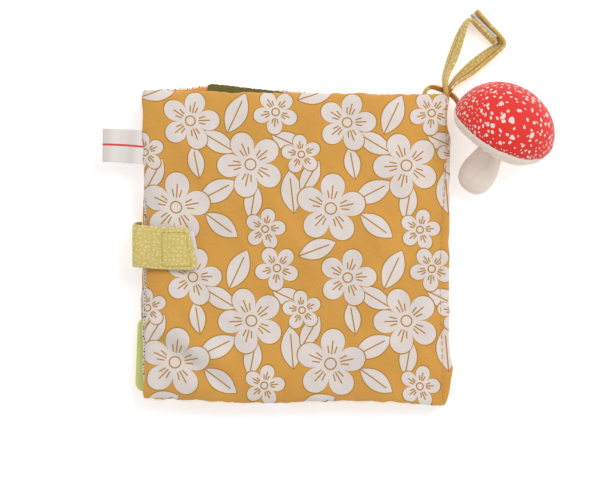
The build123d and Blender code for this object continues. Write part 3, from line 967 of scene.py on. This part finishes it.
class SOFTBOOK_OT_front_cover(bpy.types.Operator):
    """Printed padded panel under the closed book, sewn into the spine"""
    bl_idname = "softbook.front_cover"
    bl_label = "Front cover"

    def execute(self, context):
        sizes = context.scene.soft_book_covers
        panel, grid, x, y, to_edges, flat, gathers, pull = new_cover(
            "front_cover_cloth", FRONT_LOW, FRONT_HIGH, sizes, warp=0.6, seed=9.0, fore_edge=FRONT_LEFT_EDGE)
        inner, hinge, seam = FRONT_HIGH.z / MM, FRONT_HINGE / MM, SPINE_LOW.z / MM
        top = smooth_line(((-120, inner), (51, inner), (hinge.x, hinge.z + 1.2), (STITCH_X / MM, seam),
                           (STRIP_FLAT, seam), (STRIP_EDGE, seam + 1.3)), x, 1)
        bottom = smooth_line(((-120, 0.1), (60, 0.1), (hinge.x, 0.2), (STITCH_X / MM, seam - SEAM_CLOTH),
                              (STRIP_FLAT, seam - SEAM_CLOTH), (STRIP_EDGE, seam + 0.8)), x, 1)
        x = x + pull
        roll, lowest = 0.008, 0.00005
        z = padded_heights(grid, to_edges, sizes, roll, top, bottom, 0.62)
        z += sizes.pucker * gathers * np.clip((z - 0.0005) / 0.002, 0, 1) + SEAM_DEPTH * spine_seam(x, y)
        set_points(panel, x, y, np.maximum(z, lowest))
        map_cloth(panel, -flat[0] - pull, flat[1])
        left, end = FRONT_LOW.x + 0.006, FRONT_HIGH.y - 0.005

        def lined(face):
            return face.normal.z > 0.5 and face.center.x > left and abs(face.center.y) < end

        face_rows(panel, lined)
        finish_cover(panel, "front_cover", context.scene.soft_book_colours)
        return {"FINISHED"}


class SOFTBOOK_OT_page_leaves(bpy.types.Operator):
    """Padded leaves, pressed together where they are sewn into the spine"""
    bl_idname = "softbook.page_leaves"
    bl_label = "Page leaves"

    # In mm: bottom and top of the stack of leaves and of its sewn end, and half a leaf's thickness at both
    STACK, SEWN = (5.3, 18.5), (3.1, 11.9)
    HALF_FREE, HALF_SEWN = 2.1, 1.42

    def execute(self, context):
        sizes = context.scene.soft_book_covers
        colours = context.scene.soft_book_colours
        leaves = [self.leaf(sizes, colours, number) for number in range(sizes.leaves)]
        pick(*leaves)
        bpy.ops.object.join()
        pages = bpy.context.object
        pages.name = pages.data.name = "page_leaves"
        dress(pages, "page_block", "page_cloth", ["pages"])
        return {"FINISHED"}

    def leaf(self, sizes, colours, number):
        """One leaf; the one under the felt has an orange page on top and rises past the others' top edge."""
        leaf = new_slab("leaf", 60, 60)
        grid = points_of(leaf)
        x, y, to_edges, flat, gathers = panel_plan(grid, PAGES_LOW, PAGES_HIGH, sizes, warp=0.8,
                                                   seed=3.0 * number + 1, fore_edge=PAGE_LEFT_EDGE)
        share = (number + 0.5) / sizes.leaves
        stack, sewn = (low + (high - low) * share for low, high in (self.STACK, self.SEWN))
        hinge = BACK_HINGE.x / MM
        middle, half = (smooth_line(((-120, free), (48, free), (hinge, held), (100, held)), x, 4)
                        for free, held in ((stack, sewn), (self.HALF_FREE, self.HALF_SEWN)))
        roll, half_rim = 0.006, 0.0005
        full = np.prod([swell(distance, roll) for distance in to_edges], axis=0)
        z = middle + np.where(grid[:, 2] > 0.5, 1, -1) * (half_rim + (half - half_rim) * full)
        z += sizes.pucker * gathers
        under_felt = number == sizes.leaves - 2
        rise = LEAF_RISE if under_felt else LEAF_SINK
        y = y + smooth_line(rise, x, 6) * np.exp(-(to_edges[1] / 0.014) ** 2)
        set_points(leaf, x, y, z)
        map_cloth(leaf, flat[0], flat[1] if under_felt else -flat[1])
        for material in (page_cloth(colours), orange_page(colours)):
            leaf.data.materials.append(material)
        face_rows(leaf, lambda face: under_felt and face.normal.z > 0.2)
        return soften(leaf)


class SOFTBOOK_OT_spine(bpy.types.Operator):
    """Sewn strip outside the stitch line, gathered along its edge, with its stitches"""
    bl_idname = "softbook.spine"
    bl_label = "Spine"

    def execute(self, context):
        trims = context.scene.soft_book_trims
        colours = context.scene.soft_book_colours
        self.strip(colours)
        self.stitches(trims, colours)
        return {"FINISHED"}

    def strip(self, colours):
        """The layers between the two covers: a rounded section with a wavy outer edge."""
        strip = new_slab("spine_cloth", 200, 20)
        grid = points_of(strip)
        inset = 0.0006
        y = (SPINE_HIGH.y - inset) * grid[:, 0]
        rise = np.sin(grid[:, 1] * math.pi / 2)
        ends = np.clip(1 - np.abs(grid[:, 0]) ** 40, 0, 1) ** 0.5
        half_height = (SPINE_HIGH.z - SPINE_LOW.z) / 2 - 0.0001
        inner = SPINE_LOW.x + 0.0002
        outer = SPINE_HIGH.x + spine_edge(y) - inset
        section = (1 - np.abs(rise) ** 4) ** 0.25
        middle = (inner + outer) / 2
        half = (outer - inner) / 2 * (0.12 + 0.88 * section) * (0.4 + 0.6 * ends)
        x = middle + np.where(grid[:, 2] > 0.5, -1, 1) * half
        z = (SPINE_LOW.z + SPINE_HIGH.z) / 2 + rise * half_height * (0.7 + 0.3 * ends)
        set_points(strip, x, y, z)
        map_cloth(strip, x + SPINE_HIGH.z - z, y)
        soften(face_outwards(strip))
        dress(strip, "page_block", "cover_cloth", ["spine"], print_cloth(colours))

    def stitches(self, trims, colours):
        """Running stitch along both faces of the seam."""
        pitch, size = 0.0040, 0.0033
        count = int((STITCH_HIGH.y - STITCH_LOW.y) / pitch) + 1
        rows = STITCH_LOW.y + size / 2 + pitch * np.arange(count)
        columns = stitch_place(rows)
        slopes = np.gradient(columns, rows)
        places, directions, ups = [], [], []
        for z, up in ((SPINE_HIGH.z + SEAM_CLOTH * MM, 1), (SPINE_LOW.z - SEAM_CLOTH * MM, -1)):
            for x, y, slope in zip(columns, rows, slopes):
                places.append((x, y, z))
                directions.append(unit(np.array((slope, 1.0, 0.0))))
                ups.append((0, 0, up))
        stitches = stitch_row("spine_threads", places, directions, ups, size, trims.thread)
        dress(stitches, "page_block", "ochre_thread", ["spine_stitches"], ochre_thread(colours))


class SOFTBOOK_OT_closing_strap(bpy.types.Operator):
    """Dotted strap from the front cover over the back cover, with its box of stitches and its patches"""
    bl_idname = "softbook.closing_strap"
    bl_label = "Closing strap"

    SLANT = 0.0042  # how much shorter the tongue is at its upper edge

    def execute(self, context):
        trims = context.scene.soft_book_trims
        colours = context.scene.soft_book_colours
        route = self.route(trims)
        strap = self.tongue(trims, route)
        dress(strap, "front_cover", "strap_cloth", ["closing_strap"], strap_cloth(colours))
        stitches = self.box_of_stitches(trims)
        dress(stitches, "front_cover", "strap_cloth", [], strap_thread(colours))
        hook = self.patch("strap_hook_tape", "strap_hook_patch", beyond=0.0)
        dress(hook, "front_cover", "hook_tape", ["strap_hook_patch"], hook_tape(colours))
        loop = self.patch("strap_loop_tape", "strap_loop_patch", beyond=0.0031)
        dress(loop, "back_cover", "hook_tape", ["strap_loop_patch"], hook_tape(colours))
        for piece in (strap, stitches, hook):
            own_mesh(piece)
        return {"FINISHED"}

    def route(self, trims):
        """Up from the front cover's edge, round the fold and along the back cover."""
        lay = STRAP_HIGH.z - trims.strap_thickness / 2
        fold = STRAP_LOW.x + trims.strap_thickness / 2
        return smooth_route([
            (fold + 0.0046, 0.0028, 0.0034), (fold + 0.0012, 0.0026, 0.0036), (fold - 0.0003, 0.0024, 0.0085),
            (fold + 0.0002, 0.0018, 0.0165), (fold - 0.0007, 0.0013, 0.0235),
            (fold + 0.0002, 0.0010, lay + 0.0002), (fold + 0.0070, 0.0004, lay + 0.0004),
            (fold + 0.0160, -0.0004, lay - 0.0002),
            (fold + 0.0290, -0.0008, lay), (STRAP_HIGH.x + 0.0010, -0.0008, lay + 0.0004)])

    def tongue(self, trims, route):
        """The strap's own mesh: its end is slanted and has round corners."""
        run = lengths_along(route)[-1]
        corner = 0.0045

        def end(across, along):
            reach = 1 - spread(across, 0, self.SLANT) / run
            left = spread(-along, 0, run)
            inset = corner - np.sqrt(np.clip(corner ** 2 - np.clip(corner - left, 0, corner) ** 2, 0, None))
            return reach, 1 - inset / (trims.strap_width / 2)

        strap = new_strip("closing_strap_cloth", route, (0.0, 1.0, 0.0), trims.strap_width,
                          trims.strap_thickness, 90, 30, end=end)
        return soften(strap)

    def box_of_stitches(self, trims):
        """The seam that holds the hook patch, seen on the tongue."""
        left, right, slant = -0.0792, -0.0619, 0.0034
        low, high = -0.0110, 0.0090
        corners = [(left, low), (left, high), (right - slant, high), (right, low), (left, low)]
        pitch, size, above = 0.0026, 0.0019, 0.00025
        z = STRAP_HIGH.z + above
        places, directions = [], []
        for start, stop in zip(corners, corners[1:]):
            run = Vector(stop) - Vector(start)
            count = max(2, round(run.length / pitch))
            for i in range(count):
                spot = Vector(start) + run * ((i + 0.5) / count)
                places.append((spot.x, spot.y, z))
                directions.append((*run.normalized(), 0))
        ups = [(0, 0, 1)] * len(places)
        return stitch_row("strap_threads", places, directions, ups, size, trims.thread * 0.6)

    def patch(self, name, node, beyond):
        """Hook or loop tape, slightly pillowed; the loop tape is cut along the tongue's slant and shows
        beyond its end."""
        low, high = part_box(node)
        patch = new_slab(name, 24, 28)
        grid = points_of(patch)
        cut_back, pillow = 0.0035, 0.0003
        y = spread(grid[:, 1], low.y, high.y)
        slanted = STRAP_HIGH.x + beyond - spread(grid[:, 1], 0, self.SLANT)
        x = spread(grid[:, 0], low.x, slanted if beyond else high.x)
        far_end = np.clip((grid[:, 0] - 0.4) / 0.6, 0, 1)
        lower_end = np.clip(-grid[:, 1] - 0.6, 0, 1) / 0.4
        x = x - cut_back * (far_end * lower_end) ** 2
        edge = np.minimum(1 - np.abs(grid[:, 0]), 1 - np.abs(grid[:, 1]))
        z = np.where(grid[:, 2] > 0.5, high.z - pillow + pillow * swell(edge, 0.3), low.z)
        set_points(patch, x, y, z)
        map_cloth(patch, x, y)
        return soften(patch)


class SOFTBOOK_OT_ribbon_tag(bpy.types.Operator):
    """White satin ribbon folded double, with a red stripe"""
    bl_idname = "softbook.ribbon_tag"
    bl_label = "Ribbon tag"

    def execute(self, context):
        trims = context.scene.soft_book_trims
        colours = context.scene.soft_book_colours
        middle = (TAG_LOW + TAG_HIGH) / 2
        width = TAG_HIGH.y - TAG_LOW.y
        out, root = TAG_LOW.x - 0.0002, TAG_HIGH.x + 0.001
        lean = 0.0007
        route = smooth_route([
            (root, middle.y - lean, middle.z - 0.0003), (root - 0.008, middle.y, middle.z - 0.0007),
            (out + 0.004, middle.y + lean, middle.z - 0.0011), (out, middle.y + lean, middle.z - 0.0010),
            (out, middle.y + lean, middle.z + 0.0004), (out + 0.004, middle.y + lean, middle.z + 0.0006),
            (root - 0.008, middle.y, middle.z + 0.0007), (root - 0.002, middle.y - lean, middle.z + 0.0001),
            (root, middle.y - lean, middle.z)])
        tag = new_strip("ribbon_tag_satin", route, (0.0, 1.0, 0.0), width, trims.tag_thickness, 110, 40,
                        edge=0.3)
        soften(tag)
        dress(tag, "back_cover", "satin_ribbon", ["ribbon_tag"], satin_ribbon(colours))
        return {"FINISHED"}


class SOFTBOOK_OT_hang_loop(bpy.types.Operator):
    """Two dotted tapes that twist up from the spine and lap at the top, with hook and loop strips between"""
    bl_idname = "softbook.hang_loop"
    bl_label = "Hang loop"

    # Places along each tape, as (right of the spine edge, above the spine's top end, height, lean of the
    # tape from upright in degrees), in mm
    ARMS = {
        "left": ((-1.5, -1.2, 11.0, 8), (-1.9, 3.0, 10.6, 12), (-1.7, 10.0, 7.6, 20), (2.4, 20.0, 5.4, 31),
                 (6.2, 31.0, 5.2, 30), (9.6, 40.4, 5.0, 24), (13.0, 44.6, 5.0, 8), (16.3, 41.5, 5.0, -8),
                 (21.4, 36.2, 5.0, -11), (28.1, 29.9, 5.0, -11)),
        "right": ((-0.1, -1.2, 11.0, 8), (0.6, 2.0, 10.4, 14), (4.4, 6.8, 7.2, 30), (11.4, 12.6, 5.2, 44),
                  (18.4, 18.6, 4.8, 46), (25.6, 24.2, 4.8, 40), (30.4, 27.2, 5.0, 28), (32.5, 29.3, 5.0, 14),
                  (30.6, 33.0, 5.0, 10), (25.2, 38.8, 5.0, 9), (16.4, 48.9, 5.0, 9)),
    }
    # Place of each tape's seam across it, in metres
    SEAMS = {"left": -0.0003, "right": 0.0030}
    # Ends of the hook and loop strips between the laps, as (right, above) in mm
    STRIPS = {"hook": ((15.4, 44.1), (28.2, 32.3)), "loop": ((13.6, 46.9), (28.5, 32.9))}

    def execute(self, context):
        trims = context.scene.soft_book_trims
        colours = context.scene.soft_book_colours
        for side, arm in self.ARMS.items():
            tape = self.tape(trims, "hang_tape_" + side, arm, self.SEAMS[side])
            dress(tape, "page_block", "hang_tape", ["hang_strap_" + side], hang_cloth(colours))
        for kind, ends in self.STRIPS.items():
            strip = self.strip(f"hang_{kind}_tape", ends)
            dress(strip, "page_block", "hook_tape", [f"hang_{kind}_patch"], hook_tape(colours))
        return {"FINISHED"}

    def tape(self, trims, name, arm, seam):
        """One tape, pinched where it is sewn in and kept above the floor."""
        places = [(SPINE_HIGH.x + x * MM, SPINE_HIGH.y + y * MM, z * MM) for x, y, z, lean in arm]
        route = smooth_route(places)
        along = lengths_along(route)
        stations = np.linspace(0, 1, len(arm))
        leans = np.interp(along / along[-1], stations, [lean for x, y, z, lean in arm])

        def end(across, along_share):
            return 1.0, 0.52 + 0.48 * np.clip((along_share + 1) / 0.36, 0, 1) ** 0.8

        tape = new_strip(name, route, leaning(route, leans), trims.hang_width, trims.hang_thickness, 120, 14,
                         end=end, seam=seam)
        lowest = 0.0002
        points = points_of(tape)
        points[:, 2] = np.maximum(points[:, 2], lowest)
        set_points(tape, points)
        soften(tape)
        return tape

    def strip(self, name, ends):
        """Hook or loop strip on edge between the laps, leaning a little to show its face."""
        height, width, thickness = 0.005, 0.008, 0.0009
        start, stop = (np.array((SPINE_HIGH.x + x * MM, SPINE_HIGH.y + y * MM, height)) for x, y in ends)
        route = start + (stop - start) * np.linspace(0, 1, 24)[:, None]
        return soften(new_strip(name, route, (0.10, 0.12, 1.0), width, thickness, 40, 16))


def heading_axis(turn, lift):
    """A direction turned to the right of the top edge and lifted from the floor."""
    flat = math.cos(lift)
    return Vector((math.sin(turn) * flat, math.cos(turn) * flat, math.sin(lift)))


def rim_middle(sizes):
    """Middle of the cap's rim, beside the spine."""
    return Vector((SPINE_HIGH.x + sizes.gap + sizes.radius, BACK_HIGH.y - sizes.from_top,
                   sizes.radius * math.cos(sizes.pitch) - sizes.settle))


class SOFTBOOK_OT_mushroom(bpy.types.Operator):
    """Stuffed mushroom: spotted cap, cream underside and stem"""
    bl_idname = "softbook.mushroom"
    bl_label = "Mushroom"

    TUCK = 0.0009  # how far the cloth is drawn in at the rim's seam

    def execute(self, context):
        sizes = context.scene.soft_book_mushroom
        colours = context.scene.soft_book_colours
        middle = rim_middle(sizes)
        axis = heading_axis(sizes.heading, sizes.pitch)
        stem_axis = heading_axis(sizes.stem_heading, sizes.stem_pitch)
        cap, laid_out = self.cap(sizes)
        self.lie(cap, middle, axis)
        self.map_spots(cap, laid_out, middle)
        underside = self.lie(self.underside(sizes), middle, axis)
        stem = self.lie(self.stem(), middle - axis * sizes.depth, stem_axis)
        dress(cap, "page_block", "red_cloth", ["mushroom_cap"], cap_cloth(colours))
        dress(underside, "page_block", "cream_cloth", ["mushroom_underside"], cream_cloth(colours))
        dress(stem, "page_block", "cream_cloth", ["mushroom_stem"], stem_cloth(colours))
        for piece in (cap, underside, stem):
            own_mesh(piece)
        return {"FINISHED"}

    def ball(self, name, rings=64, segments=128):
        """A ball of radius 1."""
        deselect()
        bpy.ops.mesh.primitive_uv_sphere_add(segments=segments, ring_count=rings, radius=1)
        ball = bpy.context.object
        ball.name = ball.data.name = name
        return ball

    def half(self, name, upper):
        """Half a ball, closed flat at its rim."""
        half = self.ball(name)
        bpy.ops.object.mode_set(mode="EDIT")
        bpy.ops.mesh.select_all(action="SELECT")
        bpy.ops.mesh.bisect(plane_co=(0, 0, 0), plane_no=(0, 0, 1 if upper else -1), use_fill=True,
                            clear_inner=True)
        bpy.ops.object.mode_set(mode="OBJECT")
        return half

    def polar(self, piece):
        """Turn about Z, distance from it and height of each point."""
        x, y, z = points_of(piece).T
        return np.arctan2(y, x), np.hypot(x, y), z

    def set_polar(self, piece, turn, radius, height):
        set_points(piece, radius * np.cos(turn), radius * np.sin(turn), height)

    def fine_gathers(self, turn):
        """Uneven waves round the rim, from -1 to 1."""
        return np.sin(turn * 41 + 3 * np.sin(turn * 5))

    def rim(self, sizes, turn):
        """Radius of the sewn rim, slightly out of round and gathered."""
        gathers = sizes.pucker * ripple(turn * sizes.radius, 3.0)
        fine = 0.4 * sizes.pucker * self.fine_gathers(turn)
        bulge = 0.0022 * np.exp(-((turn - 0.4) / 0.55) ** 2)
        return sizes.radius + bulge + gathers + fine

    def cap(self, sizes):
        """The cap, and where each of its points lies when its cloth is laid out flat round the crown."""
        cap = self.half("mushroom_cap_cloth", True)
        turn, flat, z = self.polar(cap)
        height = sizes.height * z
        near_rim = np.exp(-height / 0.0035)
        radius = sizes.radius * flat
        radius += (self.rim(sizes, turn) - sizes.radius) * flat * near_rim
        radius -= self.TUCK * flat * np.exp(-height / 0.0012)
        self.set_polar(cap, turn, radius, height)
        from_crown = np.arccos(np.clip(z, 0, 1)) * (sizes.radius + sizes.height) / 2
        return soften(cap, 0), from_crown * np.array((np.cos(turn), np.sin(turn)))

    def map_spots(self, cap, laid_out, middle):
        """Map the laid out cloth so that the large spots are above the rim's middle."""
        above_middle = Vector((0.0065, 0.0030, 0.0260))
        large = np.array(middle + above_middle)
        origin = np.argmin(np.linalg.norm(points_of(cap) - large, axis=1))
        map_cloth(cap, *(laid_out - laid_out[:, origin:origin + 1]))

    def underside(self, sizes):
        """The bowl under the cap, with folds round the neck and puckers at the rim."""
        underside = self.half("mushroom_underside_cloth", False)
        turn, flat, z = self.polar(underside)
        radius = flat * (self.rim(sizes, turn) - self.TUCK)
        depth = sizes.depth * z * (1 + 0.10 * np.sin(turn * 3 + 1))
        folds = np.sin(turn * 14 + 2 * np.sin(turn * 2)) * np.exp(-((radius - 0.011) / 0.006) ** 2)
        above_neck = np.exp(-((radius - 0.022) / 0.006) ** 2 - ((turn - 1.35) / 0.5) ** 2)
        creases = np.sin(turn * 21 + 1) * above_neck
        puckers = self.fine_gathers(turn) * np.exp(-(sizes.radius - radius) / 0.003)
        depth = depth + 0.0009 * folds + 0.0008 * creases - 0.0003 * puckers * (z < -0.02)
        below_rim = 0.0002
        self.set_polar(underside, turn, radius, depth - below_rim)
        return soften(underside, 0)

    def stem(self):
        """A narrow neck and a round foot, with a seam along the side that shows."""
        stem = self.ball("mushroom_stem_cloth", 56, 120)
        turn, _, z = self.polar(stem)
        place = spread(z, -0.0322, 0.0040)
        profile = ((-32.2, 0.0), (-31.9, 3.2), (-30.6, 6.4), (-27.6, 9.3), (-22.5, 10.8), (-16.5, 10.7),
                   (-11.0, 9.4), (-6.0, 8.0), (0.0, 7.2), (3.6, 6.8), (4.0, 0.0))
        radius = smooth_line(profile, place, 0.6)
        seam_turn = np.radians(97 + 1.5 * (place / MM + 10))
        aside = (turn - seam_turn) * np.maximum(radius, 0.001)
        radius = radius - 0.0003 * np.exp(-(aside / 0.0007) ** 2) * np.clip(radius / 0.004, 0, 1)
        radius *= 1 + 0.012 * np.sin(turn * 3 + place * 200)
        radius += 0.0004 * np.sin(turn * 9 + 1) * np.exp(-((place + 0.002) / 0.005) ** 2)
        self.set_polar(stem, turn, radius, place)
        map_cloth(stem, aside, place)
        return soften(stem, 0)

    def lie(self, piece, place, axis):
        """Turn a piece to its axis, move it to its place and press it flat where it meets the floor."""
        pick(piece)
        piece.rotation_mode = "QUATERNION"
        piece.rotation_quaternion = axis.to_track_quat("Z", "Y")
        piece.location = place
        bpy.ops.object.transform_apply(location=True, rotation=True, scale=True)
        points = points_of(piece)
        give = 0.0014
        points[:, 2] = (points[:, 2] + np.sqrt(points[:, 2] ** 2 + give ** 2)) / 2
        set_points(piece, points)
        return piece


class SOFTBOOK_OT_mushroom_tape(bpy.types.Operator):
    """Narrow ochre tape from the top of the pages, under the neck of the hang loop, to the cap"""
    bl_idname = "softbook.mushroom_tape"
    bl_label = "Mushroom tape"

    # Route from the spine edge, the pages' top edge and the floor, and its last point from the rim's
    # middle, in mm; it starts between the pages and passes under the neck of the hang loop
    ROUTE = ((-15.3, -4.5, 10.8), (-14.6, -1.6, 11.0), (-13.0, 1.4, 11.6), (-10.0, 2.7, 11.4),
             (-6.6, 2.0, 10.0), (-3.4, 0.9, 7.4), (-0.4, -0.4, 6.6), (3.0, -2.8, 9.2), (5.4, -6.2, 14.0))
    AT_CAP = (-25.6, 12.1, -3.5)
    # Past this length the tape is coloured darker ochre, partly for its inner face and partly as painted
    # shade.
    TURN = 0.0080  # length along the tape at which it turns its inner face up

    def execute(self, context):
        trims = context.scene.soft_book_trims
        colours = context.scene.soft_book_colours
        corner = Vector((SPINE_HIGH.x, PAGES_HIGH.y, 0))
        points = [corner + Vector(place) * MM for place in self.ROUTE]
        points.append(rim_middle(context.scene.soft_book_mushroom) + Vector(self.AT_CAP) * MM)
        route = smooth_route(points)
        along = lengths_along(route)
        leans = np.interp(along / along[-1], (0, 0.2, 0.32, 0.75, 1), (35, 45, 72, 72, 45))
        tape = new_strip("mushroom_tape_woven", route, leaning(route, leans), trims.cord_width,
                         trims.cord_thickness, 60, 6)
        soften(tape)
        dress(tape, "page_block", "ochre_tape", ["mushroom_tape"], ochre_tape(colours, self.TURN))
        return {"FINISHED"}


class SOFTBOOK_OT_page_trims(bpy.types.Operator):
    """Olive felt and lime tab that stand out between the leaves"""
    bl_idname = "softbook.page_trims"
    bl_label = "Felt and tab"

    def execute(self, context):
        colours = context.scene.soft_book_colours
        felt_size, tab_size = (0.046, 0.0454), (0.030, 0.0446)
        felt = self.sheet("felt_leaf_cloth", FELT_LOW, FELT_HIGH, felt_size, turn=-6.5, corner=0.003,
                          fuzz=0.00035)
        dress(felt, "page_block", "olive_felt", ["felt_leaf"], olive_felt(colours))
        lower = Vector((-0.0007, -0.0013, 0))
        tab = self.sheet("green_tab_cloth", TAB_LOW + lower, TAB_HIGH + lower, tab_size, turn=-2.3,
                         corner=0.006, fuzz=0.00006)
        dress(tab, "page_block", "lime_cloth", ["green_tab"], lime_cloth(colours))
        return {"FINISHED"}

    def sheet(self, name, low, high, flat, turn, corner, fuzz):
        """A flat piece with round corners and a slightly uneven cut edge."""
        sheet = new_slab(name, 70, 70)
        grid = points_of(sheet)
        x, y = (dense_ends(grid[:, i]) * flat[i] / 2 for i in (0, 1))
        for edge_x in (-flat[0] / 2, flat[0] / 2):
            for edge_y in (-flat[1] / 2, flat[1] / 2):
                x, y = round_corner(x, y, edge_x, edge_y, corner)
        edge = np.maximum(np.abs(grid[:, 0]), np.abs(grid[:, 1])) ** 30
        wander = fuzz * edge * (ripple(x * 9 + y * 7, 1.0) + ripple(x * 23 - y * 17, 2.0))
        scale = 1 + wander / (flat[0] / 2)
        middle = (low + high) / 2
        from_middle = [axis * scale for axis in turned(x, y, turn)]
        thick = (high.z - low.z) * (1 - 0.5 * edge) / 2
        z = middle.z + np.where(grid[:, 2] > 0.5, 1, -1) * thick + 0.4 * fuzz * ripple(x * 11 + y * 5, 3.0)
        set_points(sheet, middle.x + from_middle[0], middle.y + from_middle[1], z)
        map_cloth(sheet, x, y)
        return soften(sheet)


class SOFTBOOK_OT_stage(bpy.types.Operator):
    """Pale floor, soft white light and a camera straight above"""
    bl_idname = "softbook.stage"
    bl_label = "Stage"

    def execute(self, context):
        sizes = context.scene.soft_book_stage
        colours = context.scene.soft_book_colours
        context.scene.view_settings.view_transform = "Standard"
        self.floor(colours)
        self.lights(context, sizes)
        self.camera(context, sizes)
        return {"FINISHED"}

    def floor(self, colours):
        """A wide floor just under the book, with a faint glow that keeps it pale."""
        size, height, glow = 12, -0.0003, 0.36
        deselect()
        bpy.ops.mesh.primitive_plane_add(size=size, location=(0, 0, height))
        floor = bpy.context.object
        floor.name = floor.data.name = "studio_floor"
        material, w, shader = new_material("studio_floor", roughness=0.9, sheen=0.0, specular=0.1)
        w.feed(shader["Base Color"], colours.floor)
        w.feed(shader["Emission Color"], colours.floor)
        w.feed(shader["Emission Strength"], glow)
        floor.data.materials.append(material)

    def lights(self, context, sizes):
        """An even white surround and two large soft lights."""
        world = bpy.data.worlds.new("white_surround")
        context.scene.world = world
        world.use_nodes = True
        background = world.node_tree.nodes["Background"].inputs
        background["Color"].default_value = (1, 1, 1, 1)
        background["Strength"].default_value = sizes.fill
        for name, place, size, power in (("key_light", (0.75, 0.85, 1.5), 0.9, sizes.key),
                                         ("top_light", (-0.5, 0.3, 1.8), 1.6, sizes.key * 0.3)):
            light = bpy.data.lights.new(name, "AREA")
            light.size = size
            light.energy = power
            lamp = bpy.data.objects.new(name, light)
            context.scene.collection.objects.link(lamp)
            lamp.location = place
            lamp.rotation_euler = Vector(place).to_track_quat("Z", "Y").to_euler()

    def camera(self, context, sizes):
        """The image is 600 by 501; its middle lies a few pixels off the book's."""
        width, right, up = 600 * sizes.pixel, 3.5 * sizes.pixel, -3.0 * sizes.pixel
        camera = bpy.data.cameras.new("camera")
        camera.sensor_width = 36
        camera.lens = camera.sensor_width * sizes.camera_height / width
        viewer = bpy.data.objects.new("camera", camera)
        context.scene.collection.objects.link(viewer)
        viewer.location = (right, up, BACK_HIGH.z + sizes.camera_height)
        context.scene.camera = viewer


OPERATORS = (
    SOFTBOOK_OT_stage,
    SOFTBOOK_OT_mushroom_tape,
    SOFTBOOK_OT_back_cover,
    SOFTBOOK_OT_front_cover,
    SOFTBOOK_OT_page_leaves,
    SOFTBOOK_OT_page_trims,
    SOFTBOOK_OT_spine,
    SOFTBOOK_OT_closing_strap,
    SOFTBOOK_OT_ribbon_tag,
    SOFTBOOK_OT_hang_loop,
    SOFTBOOK_OT_mushroom,
)
SETTINGS = {
    "soft_book_colours": BookColours,
    "soft_book_covers": CoverSizes,
    "soft_book_trims": TrimSizes,
    "soft_book_mushroom": MushroomSizes,
    "soft_book_stage": StageSizes,
}


class SOFTBOOK_PT_panel(bpy.types.Panel):
    """Buttons for the pieces, and their sizes and colours"""
    bl_idname = "SOFTBOOK_PT_panel"
    bl_label = "Soft book"
    bl_space_type = "VIEW_3D"
    bl_region_type = "UI"
    bl_category = "Soft book"

    def draw(self, context):
        for operator in OPERATORS:
            self.layout.operator(operator.bl_idname)
        for setting, group in SETTINGS.items():
            box = self.layout.box()
            box.label(text=group.__doc__)
            for name in group.__annotations__:
                box.prop(getattr(context.scene, setting), name)


def register():
    for group in SETTINGS.values():
        bpy.utils.register_class(group)
    for setting, group in SETTINGS.items():
        setattr(bpy.types.Scene, setting, PointerProperty(type=group))
    for operator in OPERATORS:
        bpy.utils.register_class(operator)
    bpy.utils.register_class(SOFTBOOK_PT_panel)


def unregister():
    bpy.utils.unregister_class(SOFTBOOK_PT_panel)
    for operator in reversed(OPERATORS):
        bpy.utils.unregister_class(operator)
    for setting, group in SETTINGS.items():
        delattr(bpy.types.Scene, setting)
        bpy.utils.unregister_class(group)


def main():
    register()
    for operator in OPERATORS:
        family, action = operator.bl_idname.split(".")
        getattr(getattr(bpy.ops, family), action)()


if __name__ == "__main__":
    main()
